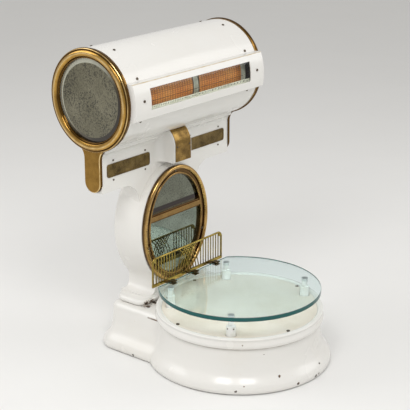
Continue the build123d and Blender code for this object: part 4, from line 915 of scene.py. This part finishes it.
CHART = ChartPaperFinish()
IRON = PlainFinish("black_iron", (0.05, 0.048, 0.045), (0.12, 0.09, 0.07), 0.3, 0.55)
STEEL = PlainFinish("machined_steel", (0.50, 0.49, 0.46), (0.30, 0.27, 0.23), 1.0, 0.35)
SCREW = PlainFinish("screw_heads", (0.13, 0.10, 0.07), (0.05, 0.035, 0.025), 0.7, 0.45, 300.0)
DECK = PlainFinish("deck_paint", (0.745, 0.685, 0.60), (0.67, 0.605, 0.50), 0.0, 0.4, 9.0)
SLEEVE = PlainFinish("sleeve_enamel", (0.80, 0.80, 0.775), (0.70, 0.68, 0.62), 0.0, 0.25)
STRIP = PlainFinish("strip_paint", (0.78, 0.80, 0.68), (0.60, 0.60, 0.46), 0.0, 0.5, 60.0)
DRUM_METAL = PlainFinish("drum_metal", (0.66, 0.70, 0.60), (0.44, 0.46, 0.38), 0.1, 0.45)
COLLAR = PlainFinish("collar_paint", (0.44, 0.47, 0.39), (0.24, 0.25, 0.19), 0.1, 0.4, 55.0)
BACKING = PlainFinish("backing_sheet", (0.10, 0.095, 0.085), (0.18, 0.15, 0.12), 0.2, 0.6)
PAD = PlainFinish("soft_pad", (0.55, 0.58, 0.58), (0.44, 0.46, 0.45), 0.0, 0.8)
INK = PlainFinish("printed_ink", (0.022, 0.022, 0.020), (0.07, 0.06, 0.05), 0.0, 0.6)
WIRE = PlainFinish("dark_wire", (0.05, 0.03, 0.02), (0.09, 0.05, 0.03), 0.6, 0.4)


@dataclass
class Base:
    """Round drum base with its plinth, deck, feet and the works under the deck."""

    dresser: Dresser

    def build(self) -> None:
        """Dresses the base's pieces."""
        self.dresser.dress(
            (BASE_ENAMEL, ("base_casting",)),
            (DECK, ("deck_plate",)),
            (SCREW, ("deck_screws",)),
            (IRON, ("foot_front_left", "foot_front_right", "foot_rear_left", "foot_rear_right",
                    "main_lever", "fulcrum_stands", "link_bracket", "platform_spider")),
            (STEEL, ("lever_knives", "check_link", "foot_bolts")))


@dataclass
class Column:
    """Oval column with its door frame, mirrors, brass plates and the works inside it."""

    dresser: Dresser

    def build(self) -> None:
        """Dresses the column's pieces."""
        self.dresser.dress(
            (COLUMN_ENAMEL, ("column_casting",)),
            (FRAME_BRASS, ("door_frame",)),
            (UPPER_MIRROR, ("upper_mirror",)),
            (DOOR_MIRROR, ("lower_mirror",)),
            (BACKING, ("door_backing",)),
            (SCREW, ("door_screws", "plate_screws")),
            (PLATE_BRASS, ("nameplates",)),
            (COVER_BRASS, ("centre_cover",)),
            (STEEL, ("stirrup", "draft_rod", "dashpot_plunger", "spring_left", "spring_right")),
            (WORKS_BRASS, ("crosshead", "dashpot_cylinder", "dashpot_lid")),
            (IRON, ("spring_hanger",)))


@dataclass
class Barrel:
    """Barrel with its covers, window, end rings and mirrors, and the figures on the reading strip."""

    dresser: Dresser
    figure_count: int = 30
    figure_first_x: float = -0.1710
    figure_step: float = 0.0118
    figure_height: float = 0.0042
    figure_weight: float = 0.00022
    figure_z: float = 0.6147
    tick_bottom_z: float = 0.6139
    tick_top_z: float = 0.6195
    tick_width: float = 0.0010
    strip_face_y: float = 0.0473
    print_depth: float = 0.00006
    type_scale: float = 1.35

    def build(self) -> None:
        """Dresses the barrel's pieces and prints the strip's figures."""
        self.dresser.dress(
            (ENAMEL, ("barrel_cover", "belly_cover")),
            (PANEL_ENAMEL, ("window_panel",)),
            (PANE, ("window_glass", "rear_window_glass")),
            (STRIP, ("reading_strip",)),
            (WIRE, ("index_wire",)),
            (SCREW, ("barrel_screws",)),
            (RING_BRASS, ("end_ring_left", "end_ring_right")),
            (END_MIRROR, ("end_mirror_left", "end_mirror_right")),
            (BACKING, ("mirror_backings",)),
            (IRON, ("end_frame_left", "end_frame_right")),
            (WORKS_BRASS, ("rear_window_frame",)))
        self.figures()

    def figures(self) -> None:
        """Prints plain numbers and tick marks on the white strip below the chart."""
        mesh = bmesh.new()
        face = self.strip_face_y - self.print_depth
        upright = Matrix.Rotation(math.radians(90), 4, "X")
        for number in range(self.figure_count):
            x = self.figure_first_x + number * self.figure_step
            self.number(mesh, str(number), Matrix.Translation((x, face, self.figure_z)) @ upright)
            tick = x + self.figure_step / 2
            if tick > -self.figure_first_x:
                continue
            left, right = tick - self.tick_width / 2, tick + self.tick_width / 2
            corners = [(left, face, self.tick_bottom_z), (right, face, self.tick_bottom_z),
                       (right, face, self.tick_top_z), (left, face, self.tick_top_z)]
            mesh.faces.new([mesh.verts.new(corner) for corner in corners])
        piece = mesh_piece("strip_figures", mesh, smooth=False)
        self.dresser.finish_piece(piece, INK, Body.FRAME, "strip")

    def number(self, mesh: bmesh.types.BMesh, digits: str, place: Matrix) -> None:
        """Adds one printed number to a mesh.

        Args:
            mesh: The mesh that takes the number.
            digits: The number's figures.
            place: Where the number's foot and middle go.
        """
        curve = bpy.data.curves.new("number", "FONT")
        curve.body = digits
        curve.size = self.figure_height * self.type_scale
        curve.offset = self.figure_weight
        curve.align_x = "CENTER"
        curve.resolution_u = 2
        carrier = bpy.data.objects.new("number", curve)
        bpy.context.scene.collection.objects.link(carrier)
        bpy.context.view_layer.update()
        ready = carrier.evaluated_get(bpy.context.evaluated_depsgraph_get())
        printed = bpy.data.meshes.new_from_object(ready)
        printed.transform(place)
        mesh.from_mesh(printed)
        bpy.data.objects.remove(carrier)
        bpy.data.curves.remove(curve)
        bpy.data.meshes.remove(printed)


@dataclass
class ChartDrum:
    """Chart drum with its shaft, pinion and the rack that turns it, and the collar between the two charts."""

    dresser: Dresser
    collar_start_x: float = -0.0052
    collar_end_x: float = 0.0166
    collar_radius: float = 0.1022
    collar_thickness: float = 0.0007
    collar_bevel: float = 0.001
    collar_sides: int = 160
    wire_setback: float = 0.0026
    wire_radius: float = 0.0011
    wire_sides: int = 10
    crease_degrees: float = 40.0

    def build(self) -> None:
        """Dresses the drum's pieces and makes the collar."""
        self.dresser.dress(
            (CHART, ("chart_left", "chart_right")),
            (DRUM_METAL, ("drum_frame",)),
            (STEEL, ("drum_shaft",)),
            (WORKS_BRASS, ("pinion", "rack")))
        self.collar()

    def collar(self) -> None:
        """Rolls the thin collar that closes the gap between the charts, and the dark wire at its edge."""
        start, end, radius = self.collar_start_x, self.collar_end_x, self.collar_radius
        inner = radius - self.collar_thickness
        band = self.rolled("drum_collar", [
            (start, inner), (start, radius), (end - self.collar_bevel, radius),
            (end, radius - self.collar_thickness / 2), (end, inner)])
        self.dresser.finish_piece(band, COLLAR, Body.DRUM, "aluminium")
        middle = start + self.wire_setback
        wire = self.rolled("drum_collar_wire", [
            (middle + self.wire_radius * math.cos(turn), radius + self.wire_radius * math.sin(turn))
            for turn in (math.tau * n / self.wire_sides for n in range(self.wire_sides))])
        self.dresser.finish_piece(wire, WIRE, Body.DRUM, "steel")

    def rolled(self, name: str, profile: Sequence[tuple[float, float]]) -> bpy.types.Object:
        """Turns a closed profile round the drum's shaft.

        Args:
            name: The piece's name.
            profile: Pairs of place along the shaft and radius.

        Returns:
            The new piece.
        """
        mesh = bmesh.new()
        loops = []
        for n in range(self.collar_sides):
            angle = math.tau * n / self.collar_sides
            loops.append([mesh.verts.new((x, COLUMN_Y + r * math.cos(angle), BARREL_Z + r * math.sin(angle)))
                          for x, r in profile])
        for n, loop in enumerate(loops):
            following = loops[(n + 1) % self.collar_sides]
            for m in range(len(profile)):
                k = (m + 1) % len(profile)
                mesh.faces.new((loop[m], loop[k], following[k], following[m]))
        bmesh.ops.recalc_face_normals(mesh, faces=mesh.faces)
        piece = mesh_piece(name, mesh)
        piece.data.set_sharp_from_angle(angle=math.radians(self.crease_degrees))
        return piece


@dataclass
class Platform:
    """Glass platter with its posts, sleeves and pads, and the brass fence behind it."""

    dresser: Dresser
    posts: tuple[tuple[float, float], ...] = (
        (-0.141, -0.1565), (0.141, -0.1565), (-0.104, 0.0515), (0.104, 0.0515))
    sleeve_radius: float = 0.011
    screw_z: float = 0.1425
    screw_radius: float = 0.0017
    screw_rise: float = 0.0009
    screw_turn: float = 38.0
    screw_sides: int = 20
    screw_profile: tuple[tuple[float, float], ...] = (
        (1.0, -1.0), (1.0, 0.3), (0.86, 0.75), (0.55, 1.0), (0.45, 0.35))

    def build(self) -> None:
        """Dresses the platform's pieces and makes the sleeves' set screws."""
        self.dresser.dress(
            (PLATTER, ("glass_platter",)),
            (SLEEVE, ("platform_posts", "post_sleeves")),
            (PAD, ("post_pads",)),
            (FENCE_BRASS, ("fence",)),
            (CLIP_BRASS, ("fence_clips",)))
        self.set_screws()

    def set_screws(self) -> None:
        """Makes two small cupped screws near the top of each sleeve, on its outer side."""
        mesh = bmesh.new()
        for x, y in self.posts:
            outward = math.atan2(y - BASE_Y, x)
            for turn in (-self.screw_turn, self.screw_turn):
                angle = outward + math.radians(turn)
                direction = Vector((math.cos(angle), math.sin(angle), 0.0))
                centre = Vector((x, y, self.screw_z)) + direction * self.sleeve_radius
                turned = direction.to_track_quat("Z", "Y").to_matrix().to_4x4()
                self.screw(mesh, Matrix.Translation(centre) @ turned)
        self.dresser.finish_piece(mesh_piece("sleeve_set_screws", mesh), SCREW, Body.PLATFORM, "screw")

    def screw(self, mesh: bmesh.types.BMesh, place: Matrix) -> None:
        """Adds one round head with a cup in its middle to a mesh.

        Args:
            mesh: The mesh that takes the head.
            place: Where the head sits, with its own axis outward.
        """
        loops = [self._circle(mesh, place, self.screw_radius * across, self.screw_rise * up)
                 for across, up in self.screw_profile]
        for low, high in zip(loops, loops[1:]):
            for n in range(self.screw_sides):
                m = (n + 1) % self.screw_sides
                mesh.faces.new((low[n], low[m], high[m], high[n]))
        mesh.faces.new(loops[-1])
        mesh.faces.new(list(reversed(loops[0])))

    def _circle(self, mesh: bmesh.types.BMesh, place: Matrix, radius: float,
                height: float) -> list[bmesh.types.BMVert]:
        """Adds one ring of vertices about a screw's axis.

        Args:
            mesh: The mesh that takes the ring.
            place: Where the head sits.
            radius: The ring's radius.
            height: Its height over the head's foot.

        Returns:
            The ring's vertices, in order.
        """
        turns = (math.tau * n / self.screw_sides for n in range(self.screw_sides))
        return [mesh.verts.new(place @ Vector((radius * math.cos(turn), radius * math.sin(turn), height)))
                for turn in turns]


@dataclass(frozen=True)
class Softbox:
    """Square soft lamp: where it hangs, what it faces, its side in metres and its power in watts."""

    name: str
    place: Point
    aim: Point
    size: float
    power: float

    def hang(self) -> None:
        """Hangs the lamp in the scene."""
        data = bpy.data.lights.new(self.name, "AREA")
        data.shape = "SQUARE"
        data.size = self.size
        data.energy = self.power
        lamp = bpy.data.objects.new(self.name, data)
        turn = (Vector(self.aim) - Vector(self.place)).to_track_quat("-Z", "Y").to_matrix().to_4x4()
        lamp.matrix_world = Matrix.Translation(self.place) @ turn
        bpy.context.scene.collection.objects.link(lamp)


@dataclass
class Studio:
    """Pale floor, soft lights and the camera."""

    camera_place: Point = (-2.1816, -1.7514, 1.3039)
    yaw: float = 0.885
    pitch: float = -0.3259
    roll: float = 0.0011
    lens: float = 111.95
    sensor: float = 36.0
    view_depth: float = 50.0
    floor_colour: Colour = (0.82, 0.815, 0.80)
    floor_shade: float = 0.97
    floor_reach: float = 9.0
    world_colour: Colour = (1.0, 0.99, 0.97)
    world_strength: float = 0.60
    softboxes: tuple[Softbox, ...] = (
        Softbox("key_softbox", (-1.25, -1.6, 2.6), (0.0, 0.0, 0.3), 0.9, 22.0),
        Softbox("side_softbox", (-1.95, -0.6, 2.5), (0.0, 0.0, 0.3), 0.9, 20.0),
        Softbox("fill_softbox", (1.8, -1.6, 1.6), (0.0, 0.0, 0.4), 1.6, 14.0),
        Softbox("rear_softbox", (-1.2, 1.8, 1.9), (0.0, 0.1, 0.4), 1.6, 16.0))

    def build(self) -> None:
        """Makes the camera, floor, world and lamps."""
        self.camera()
        self.floor()
        self.world()
        for softbox in self.softboxes:
            softbox.hang()

    def camera(self) -> None:
        """Places the camera at the photograph's angle."""
        level = math.cos(self.pitch)
        forward = Vector((math.sin(self.yaw) * level, math.cos(self.yaw) * level, math.sin(self.pitch)))
        turn = forward.to_track_quat("-Z", "Y").to_matrix().to_4x4()
        data = bpy.data.cameras.new("camera")
        data.lens = self.lens
        data.sensor_width = self.sensor
        data.clip_end = self.view_depth
        camera = bpy.data.objects.new("camera", data)
        lean = Matrix.Rotation(self.roll, 4, "Z")
        camera.matrix_world = Matrix.Translation(self.camera_place) @ turn @ lean
        bpy.context.scene.collection.objects.link(camera)
        bpy.context.scene.camera = camera

    def floor(self) -> None:
        """Lays a wide pale floor."""
        mesh = bmesh.new()
        bmesh.ops.create_grid(mesh, x_segments=1, y_segments=1, size=self.floor_reach)
        piece = mesh_piece("floor", mesh, smooth=False)
        sheet = SheetNodes("floor_paint")
        shade = tuple(channel * self.floor_shade for channel in self.floor_colour)
        sheet.shade(Base_Color=sheet.mix(sheet.noise(3.0, 3.0), self.floor_colour, shade),
                    Roughness=0.85, Specular_IOR_Level=0.1)
        piece.data.materials.append(sheet.material)

    def world(self) -> None:
        """Fills the surroundings with an even pale light."""
        world = bpy.data.worlds.new("surroundings")
        bpy.context.scene.world = world
        world.use_nodes = True
        tree = world.node_tree
        tree.nodes.clear()
        output = tree.nodes.new("ShaderNodeOutputWorld")
        light = tree.nodes.new("ShaderNodeBackground")
        light.inputs["Color"].default_value = (*self.world_colour, 1.0)
        light.inputs["Strength"].default_value = self.world_strength
        tree.links.new(light.outputs[0], output.inputs["Surface"])


def main() -> None:
    """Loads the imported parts, dresses them and sets up the studio."""
    logging.basicConfig(level=logging.INFO, format="%(message)s")
    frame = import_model()
    dresser = Dresser(frame["nodes"])
    Studio().build()
    for assembly in (Base(dresser), Column(dresser), Barrel(dresser), ChartDrum(dresser), Platform(dresser)):
        assembly.build()
        log.info("finished the %s", type(assembly).__name__)
    bpy.context.scene.view_settings.view_transform = "Standard"


if __name__ == "__main__":
    main()
